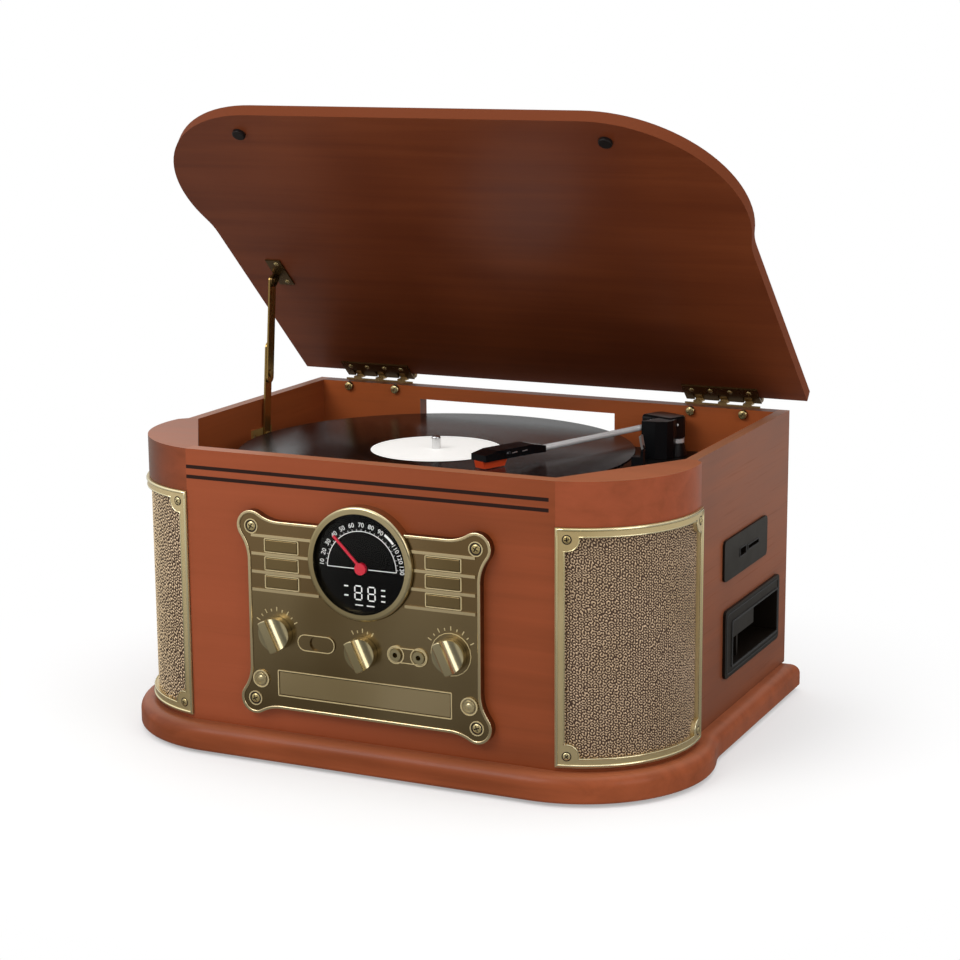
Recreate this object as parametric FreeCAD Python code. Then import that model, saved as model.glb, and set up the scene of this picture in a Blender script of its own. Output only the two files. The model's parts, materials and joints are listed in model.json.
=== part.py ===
import FreeCAD
import Part
import math
import os
from FreeCAD import Vector

# Wooden music centre with a record deck under a hinged lid.
# All sizes are millimetres. X runs to the right, Y to the back, Z up.
# Shapes are drawn with Y = 0 at the front face of the front panel and Z = 0 on the table,
# and written with the origin under the middle of the bounding box.

# General clearances
overrun = 1.0              # how far a cutting shape runs past the face it cuts
fit_gap = 0.3              # clearance between pieces that are assembled by hand
running_gap = 0.05         # radial clearance of a shaft in its bearing
touch_gap = 0.1            # clearance of a disc dropped in its seat

# Record, which sets the cabinet's depth and width
record_radius = 151.0
record_thickness = 1.6
label_radius = 50.0
label_rise = 0.2
record_front_room = 14.0   # front face to the record's edge
record_rear_pass = 1.0     # record's edge past the back panel, through its slot
record_side_room = 22.0    # record's edge to the left side panel

# Cabinet
foot_height = 2.5
foot_radius = 9.0
base_height = 19.5
base_overhang = 12.5
base_rear_overhang = 2.0
base_edge_round = 9.0
base_lower_round = 2.5
side_wall = 8.5
deck_rise = 166.0          # deck surface above the plinth
deck_below_rim = 36.0
front_wall = 11.0
back_wall = 12.0
panel_edge_round = 1.0
ledge_width = 8.0
ledge_height = 9.0
base_top = foot_height + base_height
body_height = deck_rise + deck_below_rim
body_depth = record_front_room + 2 * record_radius - record_rear_pass
platter_x = -25.0
platter_y = record_front_room + record_radius
side_inner_x = record_radius - platter_x + record_side_room
side_half_width = side_inner_x + side_wall
rim_z = base_top + body_height
back_inner_y = body_depth - back_wall

# Rounded front corners
ear_radius = 84.0
ear_side_proud = 7.0       # rounded corner outside the side panel
seam_offset = 14.5         # seam outside the ear's centre
chord_offset = 4.0         # chord inside the seam
cove_radius = 60.0
notch_offset = 21.26       # notch behind the ear's centre
notch_lead = 6.0
cap_height = 31.2
sill_height = 3.2
baffle_thickness = 9.0
ear_centre_x = side_half_width + ear_side_proud - ear_radius
seam_x = ear_centre_x + seam_offset
chord_front_x = seam_x - chord_offset
ear_centre_y = math.sqrt(ear_radius ** 2 - (seam_x - ear_centre_x) ** 2)
notch_y = ear_centre_y + notch_offset

# Speaker grilles
grille_proud = 1.5
grille_frame_depth = 3.5
grille_border = 6.2
grille_pad_radius = 8.2
grille_screw_inset = 8.0
grille_sheet = 1.5
grille_end_angle = 10.5
speaker_radius = 36.0
speaker_flange_radius = 41.0
speaker_flange = 2.5
speaker_cone_depth = 20.0
speaker_magnet_radius = 24.0
speaker_magnet_depth = 14.0
grille_screw_head = 3.5
grille_screw_rise = 1.2
grille_screw_length = 6.0
grille_z0 = base_top + sill_height
grille_z1 = rim_z - cap_height

# Lid and its hinges
lid_overhang = 14.0
lid_rear_overhang = 1.0
lid_thickness = 10.0
lid_edge_round = 1.2
lid_gap = 3.4              # closed lid above the rim
lid_open_angle = 42.7
pin_behind_lid = 5.5
pin_above_lid = 3.4        # hinge pin above the lid's underside when closed
bumper_radius = 5.0
bumper_inset = 62.5        # from the side's outer face
bumper_y = 5.5
bumper_height = 2.9
hinge_inset = 55.0         # middle of a hinge from the side's outer face
hinge_leaf_width = 62.0
hinge_leaf_thickness = 1.2
hinge_wall_leaf_depth = 22.0
hinge_lid_leaf_depth = 12.0
hinge_web_drop = 4.2       # web of the wall leaf below the pin
knuckle_radius = 3.2
hinge_pin_radius = 1.45
finger_pitch = 20.5
finger_width = 7.0
hinge_bolt_x = 21.6        # from the middle of the hinge
hinge_bolt_drop = 3.7      # bolt below the rim
hinge_bolt_radius = 1.7
hinge_bolt_head = 3.8
hinge_bolt_head_depth = 2.6
hinge_nut_radius = 2.9
hinge_nut_depth = 2.4
bumper_x = side_half_width - bumper_inset
hinge_x = side_half_width - hinge_inset
lid_under_z = rim_z + lid_gap
lid_rear_y = body_depth + lid_rear_overhang
pin_y = lid_rear_y + pin_behind_lid
pin_z = lid_under_z + pin_above_lid

# Folding lid stay
stay_pivot_fore = 113.0    # lower pivot from the back of the cabinet
stay_pivot_rise = 6.6      # lower pivot above the deck
stay_lower_length = 50.0
stay_upper_length = 73.7
stay_lower_tail = 20.0
stay_upper_tail = 3.0
stay_half_width = 4.8
stay_thickness = 1.4
stay_gap = 0.4
stay_rivet_radius = 1.5
stay_head_radius = 3.0
stay_head_depth = 1.1
stay_wall_gap = 1.8
stay_bracket_thickness = 1.2
stay_bracket_width = 13.0
stay_bracket_length = 32.0
stay_wall_plate_length = 30.0
stay_wall_plate_height = 13.0
stay_pivot_y = body_depth - stay_pivot_fore

# Record deck
deck_thickness = 3.0
deck_z = base_top + deck_rise
platter_radius = 98.0
platter_height = 8.8
platter_disc = 4.5
platter_skirt = 2.5
platter_gap = 1.5
hub_radius = 50.0
hub_wall = 4.0
mat_radius = 96.0
mat_thickness = 3.0
spindle_radius = 3.55
spindle_rise = 10.0
bearing_radius = 9.0
bearing_depth = 16.0
motor_distance = 70.0
motor_angle = 215.0
motor_radius = 16.0
motor_height = 24.0
motor_shaft_radius = 1.0
motor_shaft_depth = 12.0
pulley_radius = 6.0
pulley_height = 4.0
pulley_gap = 1.3
pulley_opening = 9.0
belt_height = 3.0
belt_thickness = 0.8
platter_z = deck_z + platter_gap
platter_top = platter_z + platter_height
mat_top = platter_top + mat_thickness
record_z = mat_top + touch_gap
record_top = record_z + record_thickness

# Slot in the back panel that the record's edge passes into
slot_left = 82.4           # slot ends from the spindle
slot_right = 90.6
slot_below_rim = 10.5
slot_above_deck = 4.0
slot_x0 = platter_x - slot_left
slot_x1 = platter_x + slot_right

# Tonearm, drawn along its own length from the swing axis and then turned into place
arm_side_inset = 92.5      # swing axis from the side's outer face
arm_rear_inset = 27.0
arm_play_angle = -113.0
arm_park_angle = -79.8
arm_axis_rise = 9.0        # lift axis above the record
arm_length = 189.0         # swing axis to stylus
arm_tube_radius = 2.3
arm_tube_drop = 2.0        # fall of the tube from the lift axis to the headshell
turret_post_radius = 8.0
turret_foot_radius = 9.5   # foot that flares to the deck beside the post
turret_foot_top = 6.0
turret_foot_side = 11.0
turret_skirt_depth = 8.0   # front wall that reaches down to the deck
turret_top_round = 3.0
turret_nose_tip = 29.6     # nose beside the tube, from its tip round to the side
turret_nose_tip_side = 3.2
turret_nose_middle = 24.7
turret_nose_middle_side = 13.1
turret_nose_end = 18.0
turret_nose_side = 19.5
turret_nose_drop = 0.8
turret_half_width = 15.3
turret_half_length = 11.0
turret_height = 16.5
turret_rear_round = 7.0
turret_front_round = 2.0
turret_slot_half = 6.5
turret_roof = 2.0
arm_tilt_room = 0.9
turret_floor_rise = 14.0
turret_shaft_radius = 4.0
turret_shaft_depth = 14.0
arm_block_half = 6.1
arm_block_height = 7.0
arm_block_length = 18.0
arm_pin_radius = 1.5
headshell_length = 64.0
headshell_tip = 7.0        # headshell past the stylus
headshell_half_width = 8.0
headshell_neck_half = 4.0
headshell_thickness = 7.0
headshell_neck_height = 5.0
stylus_half_width = 5.0
stylus_length = 24.0
stylus_height = 5.6
stylus_clear = 0.5
rest_radius = 112.0        # arm rest from the swing axis
rest_half = 4.0
rest_wall = 2.0
rest_height = 24.0
rest_peg_radius = 2.5
rest_peg_depth = 6.0
clip_rise = 2.0            # clip pivot above the arm rest
clip_eye_radius = 1.5
clip_eye_half = 1.5
clip_pin_radius = 0.75
clip_length = 9.0
clip_half_thickness = 0.75
clip_open_angle = 80.0
arm_x = side_half_width - arm_side_inset
arm_y = body_depth - arm_rear_inset
arm_axis_z = record_top + arm_axis_rise

# Speed switch in the deck
speed_inset = 72.5         # from the side's outer face
speed_y = 42.0
speed_travel = 8.0
speed_x = speed_inset - side_half_width
speed_half_width = 4.0
speed_half_length = 2.5
speed_rise = 5.0
speed_stem_half = 1.5
speed_stem_depth = 7.0

# Control plate
plate_half_width = 91.2
plate_rise0 = 18.5
plate_z0 = base_top + plate_rise0
plate_rise1 = 156.5
plate_z1 = base_top + plate_rise1
plate_thickness = 5.5
plate_sheet = 2.5
plate_border = 7.0
lobe_radius = 11.5
lobe_x = 87.9
lobe_low_rise = 24.4
lobe_low_z = base_top + lobe_low_rise
lobe_high_rise = 151.4
lobe_high_z = base_top + lobe_high_rise
lobe_blend = 30.0
plate_rim_width = 2.4
plate_rim_rise = 0.9
plate_rim_round = 0.7
window_half_width = 80.0
window_rise0 = 28.0
window_z0 = base_top + window_rise0
window_rise1 = 146.0
window_z1 = base_top + window_rise1
rib_height = 1.0
rib_width = 2.2
rib_rise_low = 105.6
rib_z_low = base_top + rib_rise_low
rib_pitch = 13.2
rib_count = 4
plate_screw_radius = 1.6
plate_screw_head = 3.6
plate_screw_rise = 1.4
plate_screw_length = 8.0

# Tuning dial
dial_rise = 132.5
dial_z = base_top + dial_rise
dial_radius = 41.0
dial_inner_radius = 36.0
dial_seat_radius = 38.5
dial_proud = 10.0
dial_lip = 3.2
dial_round = 2.2
dial_face_thickness = 3.0
dial_face_depth = 5.0
dial_hub_rise = 129.0
dial_hub_z = base_top + dial_hub_rise
pointer_hub_radius = 4.3
pointer_length = 30.5
pointer_half_width = 0.9
pointer_thickness = 1.0
pointer_hub_depth = 2.6
pointer_shaft_radius = 1.0
pointer_shaft_length = 6.0
pointer_gap = 0.4
pointer_angle = 135.0

# Knobs and what they turn
knob_x = 68.6
knob_rise = 75.0
knob_z = base_top + knob_rise
tuning_knob_rise = 68.5
tuning_knob_z = base_top + tuning_knob_rise
knob_radius = 12.2
tuning_knob_radius = 11.6
knob_depth = 14.2
knob_round = 0.8
knob_scoop_radius = 9.4
knob_scoop_offset = 12.4
knob_scoop_lift = 1.0
knob_turn = 25.0
knob_shaft_radius = 3.0
knob_shaft_length = 16.0
pot_radius = 8.0
pot_depth = 13.0

# Buttons
key_x = 63.4
key_half_width = 12.7
key_half_height = 4.0
key_rise_low = 112.2
key_z_low = base_top + key_rise_low
key_pitch = 13.2
key_rows = 3
key_proud = 1.2
key_depth = 5.4
key_round = 0.4
key_share = 0.5            # posts stand halfway between two keys
round_key_x = 82.4
round_key_rise = 39.7
round_key_z = base_top + round_key_rise
round_key_radius = 4.4
round_key_ring = 6.5
round_key_proud = 0.6

# Sensor window and jacks on the control plate
sensor_x = -36.8
sensor_rise = 70.5
sensor_z = base_top + sensor_rise
sensor_half_width = 15.0
sensor_half_height = 6.2
sensor_dish_radius = 5.2
sensor_dish_depth = 1.6
boss_rise = 0.9
jack_x = 35.3
jack_rise = 70.1
jack_z = base_top + jack_rise
jack_spacing = 18.0
jack_half_width = 14.7
jack_half_height = 5.6
jack_body_radius = 4.4
jack_bore_radius = 1.8
jack_depth = 14.0
jack_lip = 1.4

# Disc drawer
drawer_half_width = 67.5
drawer_rise0 = 29.8
drawer_z0 = base_top + drawer_rise0
drawer_rise1 = 46.3
drawer_z1 = base_top + drawer_rise1
drawer_front_thickness = 3.0
tray_half_width = 64.0
tray_depth = 162.0
tray_height = 7.0
tray_rise = 4.0
disc_recess_radius = 60.5
disc_recess_depth = 2.0
disc_recess_y = 66.0
drive_half_width = 74.0
drive_wall = 2.5
drive_y0 = 14.0
drive_depth = 170.0
drive_height = 34.0

# Main circuit board behind the controls
board_half_width = 77.0
board_rise0 = 62.0
board_z0 = base_top + board_rise0
board_rise1 = 104.0
board_z1 = base_top + board_rise1
board_thickness = 1.6
chip_size = 12.0
chip_height = 2.0
key_board_y = 1.2
key_board_margin = 1.5
key_switch_size = 3.0
key_switch_gap = 1.1       # switch behind a key at rest
key_board_post_radius = 1.2

# Right side: small port panel and cassette slot
port_rear_room = 55.5
port_length = 98.5
port_low_share = 0.604217  # heights as shares of the deck's height
port_high_share = 0.789157
port_y1 = body_depth - port_rear_room
port_y0 = port_y1 - port_length
port_z0 = base_top + deck_rise * port_low_share
port_z1 = base_top + deck_rise * port_high_share
port_flange = 1.8
port_round = 4.0
port_inset = 3.5
port_depth = 16.0
usb_offset = 41.0          # from the panel's front end
usb_half_width = 6.6
usb_half_height = 2.7
usb_depth = 12.0
card_offset = 65.0
card_half_width = 12.2
card_half_height = 1.3
usb_y = port_y0 + usb_offset
card_y = port_y0 + card_offset
cassette_rear_room = 24.0
cassette_length = 127.0
cassette_low_share = 0.158434
cassette_high_share = 0.468675
cassette_y1 = body_depth - cassette_rear_room
cassette_y0 = cassette_y1 - cassette_length
cassette_z0 = base_top + deck_rise * cassette_low_share
cassette_z1 = base_top + deck_rise * cassette_high_share
cassette_flange = 2.2
mouth_front_border = 16.0  # from the bezel's edge to the mouth
mouth_rear_border = 6.0
mouth_low_border = 7.7
mouth_high_border = 11.8
cassette_mouth_y0 = cassette_y0 + mouth_front_border
cassette_mouth_y1 = cassette_y1 - mouth_rear_border
cassette_mouth_z0 = cassette_z0 + mouth_low_border
cassette_mouth_z1 = cassette_z1 - mouth_high_border
cassette_tunnel_wall = 2.0
cassette_tunnel_depth = 68.0
flap_end_gap = 3.0         # from the mouth's front end
flap_length = 62.0
flap_y0 = cassette_mouth_y0 + flap_end_gap
flap_y1 = flap_y0 + flap_length
flap_set_back = 4.0        # pin behind the side panel's face
flap_pin_drop = 2.4        # pin below the mouth's top
flap_pin_radius = 0.9
flap_knuckle_radius = 1.7
flap_half_thickness = 0.7
flap_drop = 14.0
guide_offset = 25.0        # from the mouth's front end
guide_width = 3.0
guide_y0 = cassette_mouth_y0 + guide_offset
guide_y1 = guide_y0 + guide_width
guide_depth = 10.0
tape_block_depth = 20.0
tape_head_half = 8.0
tape_head_depth = 5.0

# Connector plate on the back
rear_inner_edge = 64.0     # connector plate's inner edge from the middle
rear_half_width = 46.0
rear_x = rear_inner_edge + rear_half_width
rear_rise0 = 40.0
rear_z0 = base_top + rear_rise0
rear_rise1 = 72.0
rear_z1 = base_top + rear_rise1
rear_plate = 2.0
rear_box_depth = 18.0
rear_inset = 4.0
line_spacing = 16.0
line_radius = 4.15
line_length = 7.0
inlet_inset = 18.0         # from the plate's inner edge
inlet_radius = 2.8
inlet_x = rear_inner_edge + inlet_inset
inlet_depth = 10.0

# Origin under the middle of the bounding box
front_y = -plate_thickness - fit_gap - knob_depth
rear_y = pin_y + knuckle_radius
origin_y = (front_y + rear_y) / 2

X = Vector(1, 0, 0)
Y = Vector(0, 1, 0)
Z = Vector(0, 0, 1)
O = Vector(0, 0, 0)


# Helpers
def save(name, shape):
    """Writes one node with the origin moved under the middle of the object."""
    moved = shape.copy()
    moved.translate(Vector(0, -origin_y, 0))
    moved.exportStep("parts/" + name + ".step")


def block(x0, x1, y0, y1, z0, z1):
    return Part.makeBox(x1 - x0, y1 - y0, z1 - z0, Vector(x0, y0, z0))


def rod(start, axis, radius, length):
    return Part.makeCylinder(radius, length, start, axis)


def mirrored(shape):
    return shape.mirror(O, X)


def both_sides(shape):
    return [shape, mirrored(shape)]


def arc(start, middle, end):
    return Part.Arc(start, middle, end).toShape()


def line(start, end):
    return Part.makeLine(start, end)


def on_circle(cx, cy, radius, degrees, z=0.0):
    angle = math.radians(degrees)
    return Vector(cx + radius * math.cos(angle), cy + radius * math.sin(angle), z)


def prism(edges, z0, z1):
    face = Part.Face(Part.Wire(edges))
    solid = face.extrude(Vector(0, 0, z1 - z0))
    solid.translate(Vector(0, 0, z0))
    return solid


def polygon(points, z0, z1):
    vertices = [Vector(px, py, 0) for px, py in points]
    return prism([line(a, b) for a, b in zip(vertices, vertices[1:] + vertices[:1])], z0, z1)


def ring_sector(r_in, r_out, a0, a1, z0, z1):
    """Part of a ring about the right front corner's centre, between two angles."""
    mid = (a0 + a1) / 2
    def p(radius, degrees):
        return on_circle(ear_centre_x, ear_centre_y, radius, degrees)
    edges = [
        arc(p(r_out, a0), p(r_out, mid), p(r_out, a1)),
        line(p(r_out, a1), p(r_in, a1)),
        arc(p(r_in, a1), p(r_in, mid), p(r_in, a0)),
        line(p(r_in, a0), p(r_out, a0)),
    ]
    return prism(edges, z0, z1)


def rounded(shape, radius, keep):
    """Rounds the edges for which keep(middle of the edge's box) is true."""
    edges = [e for e in shape.Edges if keep(e)]
    return shape.makeFillet(radius, edges)


def flat_at(z, tolerance):
    def keep(edge):
        box = edge.BoundBox
        return abs(box.ZMin - z) < tolerance and abs(box.ZMax - z) < tolerance
    return keep


def facing(y, tolerance):
    def keep(edge):
        box = edge.BoundBox
        return abs(box.YMin - y) < tolerance and abs(box.YMax - y) < tolerance
    return keep


def turned(shape, centre, axis, degrees):
    copy = shape.copy()
    copy.rotate(centre, axis, degrees)
    return copy


# Plan outline shared by the plinth and the lid
def board_outline(overhang, back_y):
    """Edges of a board that follows the cabinet's plan at a given overhang."""
    radius = ear_radius + overhang
    edge_x = side_half_width + overhang
    cove_x = edge_x + cove_radius
    reach = math.sqrt((radius + cove_radius) ** 2 - (cove_x - ear_centre_x) ** 2)
    cove_y = ear_centre_y + reach
    join = math.degrees(math.atan2(reach, cove_x - ear_centre_x))
    meet = on_circle(ear_centre_x, ear_centre_y, radius, join)
    side = Vector(edge_x, cove_y, 0)
    cove_mid = on_circle(cove_x, cove_y, cove_radius, 180.0 + join / 2)
    ear_mid = on_circle(ear_centre_x, ear_centre_y, radius, (join - 90.0) / 2)
    front = Vector(ear_centre_x, ear_centre_y - radius, 0)
    rear = Vector(edge_x, back_y, 0)
    def left(p):
        return Vector(-p.x, p.y, p.z)
    return [
        line(rear, side),
        arc(side, cove_mid, meet),
        arc(meet, ear_mid, front),
        line(front, left(front)),
        arc(left(front), left(ear_mid), left(meet)),
        arc(left(meet), left(cove_mid), left(side)),
        line(left(side), left(rear)),
        line(left(rear), rear),
    ]


# Base
def base_plinth():
    board = prism(board_outline(base_overhang, body_depth + base_rear_overhang), foot_height, base_top)
    board = rounded(board, base_edge_round, flat_at(base_top, touch_gap))
    return rounded(board, base_lower_round, flat_at(foot_height, touch_gap))


def rubber_feet():
    inset = foot_radius * 2
    feet = []
    for fx in (-side_inner_x + inset, side_inner_x - inset):
        for fy in (notch_y, back_inner_y - inset):
            feet.append(rod(Vector(fx, fy, 0), Z, foot_radius, foot_height))
    return Part.makeCompound(feet)


# Cabinet panels
def front_panel():
    panel = block(-seam_x, seam_x, 0, front_wall, base_top, rim_z)
    ledge_z1 = deck_z - deck_thickness
    ledge = block(-chord_front_x + ledge_width, chord_front_x - ledge_width,
                  front_wall, front_wall + ledge_width, ledge_z1 - ledge_height, ledge_z1)
    panel = panel.fuse(ledge)
    window = block(-window_half_width, window_half_width, -overrun, front_wall + overrun,
                   window_z0, window_z1)
    panel = panel.cut(window)
    for px in (-lobe_x, lobe_x):
        for pz in (lobe_low_z, lobe_high_z):
            pilot = rod(Vector(px, -overrun, pz), Y, plate_screw_radius + touch_gap,
                        plate_screw_length + 2 * overrun)
            panel = panel.cut(pilot)
    return panel


def side_panel():
    """Right side panel with the ledge that carries the deck."""
    panel = block(side_inner_x, side_half_width, notch_y, body_depth, base_top, rim_z)
    ledge_z1 = deck_z - deck_thickness
    ledge = block(side_inner_x - ledge_width, side_inner_x, notch_y + ledge_width,
                  back_inner_y - ledge_width, ledge_z1 - ledge_height, ledge_z1)
    return panel.fuse(ledge)


def left_side_panel():
    return mirrored(side_panel())


def right_side_panel():
    port = block(side_inner_x - overrun, side_half_width + overrun,
                 port_y0 + port_inset, port_y1 - port_inset, port_z0 + port_inset, port_z1 - port_inset)
    wall = cassette_tunnel_wall + fit_gap
    tape = block(side_inner_x - overrun, side_half_width + overrun,
                 cassette_mouth_y0 - wall, cassette_mouth_y1 + wall,
                 cassette_mouth_z0 - wall, cassette_mouth_z1 + wall)
    return side_panel().cut(port).cut(tape)


def hinge_bolt_places():
    places = []
    for side in (-1, 1):
        for step in (-1, 1):
            places.append(side * hinge_x + step * hinge_bolt_x)
    return places


def back_panel():
    panel = block(-side_inner_x, side_inner_x, back_inner_y, body_depth, base_top, rim_z)
    slot = block(slot_x0, slot_x1, back_inner_y - overrun, body_depth + overrun,
                 deck_z + slot_above_deck, rim_z - slot_below_rim)
    rear = block(rear_x - rear_half_width + rear_inset, rear_x + rear_half_width - rear_inset,
                 back_inner_y - overrun, body_depth + overrun, rear_z0 + rear_inset, rear_z1 - rear_inset)
    panel = panel.cut(slot).cut(rear)
    for bx in hinge_bolt_places():
        hole = rod(Vector(bx, back_inner_y - overrun, rim_z - hinge_bolt_drop), Y,
                   hinge_bolt_radius + running_gap, back_wall + 2 * overrun)
        panel = panel.cut(hole)
    return panel


# Rounded corners
def ear_end():
    """Where the rounded corner stops, just before the notch to the side panel."""
    end_y = notch_y - notch_lead
    end_x = ear_centre_x + math.sqrt(ear_radius ** 2 - (end_y - ear_centre_y) ** 2)
    return Vector(end_x, end_y, 0)


def corner_block(z0, z1):
    end = ear_end()
    start = Vector(seam_x, 0, 0)
    end_angle = math.degrees(math.atan2(end.y - ear_centre_y, end.x - ear_centre_x))
    start_angle = math.degrees(math.atan2(-ear_centre_y, seam_x - ear_centre_x))
    middle = on_circle(ear_centre_x, ear_centre_y, ear_radius, (start_angle + end_angle) / 2)
    corners = [end, Vector(side_half_width, notch_y, 0), Vector(side_inner_x, notch_y, 0),
               Vector(chord_front_x, front_wall, 0), Vector(seam_x, front_wall, 0), start]
    edges = [arc(start, middle, end)]
    edges += [line(a, b) for a, b in zip(corners, corners[1:])]
    return prism(edges, z0, z1)


def corner_blocks():
    solids = both_sides(corner_block(rim_z - cap_height, rim_z))
    solids += both_sides(corner_block(base_top, base_top + sill_height - touch_gap))
    return Part.makeCompound(solids)


def chord():
    """Unit direction and outward normal of the sloping inner wall of the right corner."""
    run = Vector(side_inner_x - chord_front_x, notch_y - front_wall, 0)
    run.normalize()
    return run, Vector(run.y, -run.x, 0)


def speaker_centre():
    middle_x = (chord_front_x + side_inner_x) / 2
    middle_y = (front_wall + notch_y) / 2
    return Vector(middle_x, middle_y, (grille_z0 + grille_z1) / 2)


def speaker_baffle():
    run, outward = chord()
    a = Vector(chord_front_x, front_wall, 0)
    b = Vector(side_inner_x, notch_y, 0)
    out = outward * baffle_thickness
    reach = run * ((seam_x - (a + out).x) / run.x)
    points = [(seam_x, front_wall), (a.x, a.y), (b.x, b.y), ((b + out).x, (b + out).y),
              (seam_x, (a + out + reach).y)]
    board = polygon(points, base_top + sill_height, rim_z - cap_height)
    limit = rod(Vector(ear_centre_x, ear_centre_y, base_top), Z,
                ear_radius + grille_proud - grille_frame_depth - grille_sheet - fit_gap, body_height)
    board = board.common(limit)
    hole = rod(speaker_centre() - outward * overrun, outward, speaker_radius,
               baffle_thickness + 2 * overrun)
    return board.cut(hole)


def speaker_driver():
    outward = chord()[1]
    inward = outward * -1
    face = speaker_centre()
    flange = rod(face, inward, speaker_flange_radius, speaker_flange)
    basket = Part.makeCone(speaker_radius, speaker_magnet_radius, speaker_cone_depth,
                           face + inward * speaker_flange, inward)
    magnet = rod(face + inward * (speaker_flange + speaker_cone_depth), inward,
                 speaker_magnet_radius, speaker_magnet_depth)
    dish = Part.makeCone(speaker_radius - speaker_flange, speaker_magnet_radius - speaker_cone_depth / 2,
                         speaker_cone_depth, face, inward)
    return flange.fuse(basket).fuse(magnet).cut(dish)


# Speaker grilles, each a curved sheet under a curved frame
def grille_angles():
    radius = ear_radius + grille_proud
    start = -math.degrees(math.acos((seam_x + fit_gap - ear_centre_x) / radius))
    return start, grille_end_angle


def beside_seam(shape):
    """Keeps what lies outside the front panel's edge."""
    start = seam_x + fit_gap
    return shape.common(block(start, start + ear_radius, -ear_radius, body_depth, 0, rim_z))


def grille_sheet_solid():
    a0, a1 = grille_angles()
    outer = ear_radius + grille_proud - grille_frame_depth
    return beside_seam(ring_sector(outer - grille_sheet, outer, a0, a1, grille_z0, grille_z1 - touch_gap))


def grille_screw_places():
    """Angles and heights of the four corner screws."""
    a0, a1 = grille_angles()
    step = math.degrees(grille_screw_inset / ear_radius)
    return [(angle, height) for angle in (a0 + step, a1 - step)
            for height in (grille_z0 + grille_screw_inset, grille_z1 - grille_screw_inset)]


def grille_frame():
    a0, a1 = grille_angles()
    outer = ear_radius + grille_proud
    inner = outer - grille_frame_depth
    step = math.degrees(grille_border / ear_radius)
    whole = beside_seam(ring_sector(inner, outer, a0, a1, grille_z0, grille_z1 - touch_gap))
    window = ring_sector(inner - overrun, outer + overrun, a0 + step, a1 - step,
                         grille_z0 + grille_border, grille_z1 - grille_border)
    frame = whole.cut(window)
    for angle, height in grille_screw_places():
        centre = Vector(ear_centre_x, ear_centre_y, height)
        direction = on_circle(0.0, 0.0, 1.0, angle)
        pad = rod(centre, direction, grille_pad_radius, outer + overrun).common(whole)
        frame = frame.fuse(pad)
    for angle, height in grille_screw_places():
        centre = Vector(ear_centre_x, ear_centre_y, height)
        direction = on_circle(0.0, 0.0, 1.0, angle)
        hole = rod(centre + direction * (inner - overrun), direction, plate_screw_radius + touch_gap,
                   grille_frame_depth + 2 * overrun)
        frame = frame.cut(hole)
    return frame.removeSplitter()


def grille_panels():
    outer = ear_radius + grille_proud
    sheet = grille_sheet_solid()
    for angle, height in grille_screw_places():
        centre = Vector(ear_centre_x, ear_centre_y, height)
        direction = on_circle(0.0, 0.0, 1.0, angle)
        hole = rod(centre + direction * (outer - grille_screw_length - grille_frame_depth), direction,
                   plate_screw_radius + touch_gap, grille_screw_length + grille_frame_depth)
        sheet = sheet.cut(hole)
    return Part.makeCompound(both_sides(sheet))


def screw(place, outward, head_radius, head_rise, length):
    """Pan-head screw whose head stands on a face at place."""
    shank = rod(place - outward * length, outward, plate_screw_radius, length)
    return shank.fuse(rod(place, outward, head_radius, head_rise))


def front_screws():
    screws = []
    outer = ear_radius + grille_proud
    for angle, height in grille_screw_places():
        direction = on_circle(0.0, 0.0, 1.0, angle)
        place = Vector(ear_centre_x, ear_centre_y, height) + direction * outer
        made = screw(place, direction, grille_screw_head, grille_screw_rise, grille_frame_depth + grille_sheet)
        screws += both_sides(made)
    for height in (lobe_low_z, lobe_high_z):
        made = screw(Vector(lobe_x, -plate_thickness, height), -Y, plate_screw_head,
                     plate_screw_rise, plate_screw_length + plate_thickness)
        screws += both_sides(made)
    return Part.makeCompound(screws)


# Deck
def motor_place():
    angle = math.radians(motor_angle)
    return (platter_x + motor_distance * math.cos(angle), platter_y + motor_distance * math.sin(angle))


def arm_direction(degrees):
    return on_circle(0.0, 0.0, 1.0, degrees)


def rest_place():
    return Vector(arm_x, arm_y, 0) + arm_direction(arm_park_angle) * rest_radius


def deck_plate():
    gap = fit_gap
    outward = chord()[1]
    inset = outward * -gap
    points = [(chord_front_x + inset.x - gap, front_wall + gap),
              (side_inner_x - gap, notch_y - inset.y + gap),
              (side_inner_x - gap, back_inner_y - gap)]
    points += [(-px, py) for px, py in reversed(points)]
    plate = polygon(points, deck_z - deck_thickness, deck_z)
    boss = rod(Vector(platter_x, platter_y, deck_z - bearing_depth), Z, bearing_radius, bearing_depth)
    bore = rod(Vector(platter_x, platter_y, deck_z - bearing_depth - overrun), Z,
               spindle_radius + running_gap, bearing_depth + 2 * overrun)
    plate = plate.fuse(boss).cut(bore)
    mx, my = motor_place()
    holes = [
        rod(Vector(mx, my, deck_z - deck_thickness - overrun), Z, pulley_opening,
            deck_thickness + 2 * overrun),
        rod(Vector(arm_x, arm_y, deck_z - deck_thickness - overrun), Z,
            turret_shaft_radius + running_gap, deck_thickness + 2 * overrun),
        rod(rest_place() + Z * (deck_z - deck_thickness - overrun), Z, rest_peg_radius + touch_gap,
            deck_thickness + 2 * overrun),
        block(speed_x - speed_stem_half - fit_gap, speed_x + speed_travel + speed_stem_half + fit_gap,
              speed_y - speed_stem_half - fit_gap, speed_y + speed_stem_half + fit_gap,
              deck_z - deck_thickness - overrun, deck_z + overrun),
    ]
    for hole in holes:
        plate = plate.cut(hole)
    return plate


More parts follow.
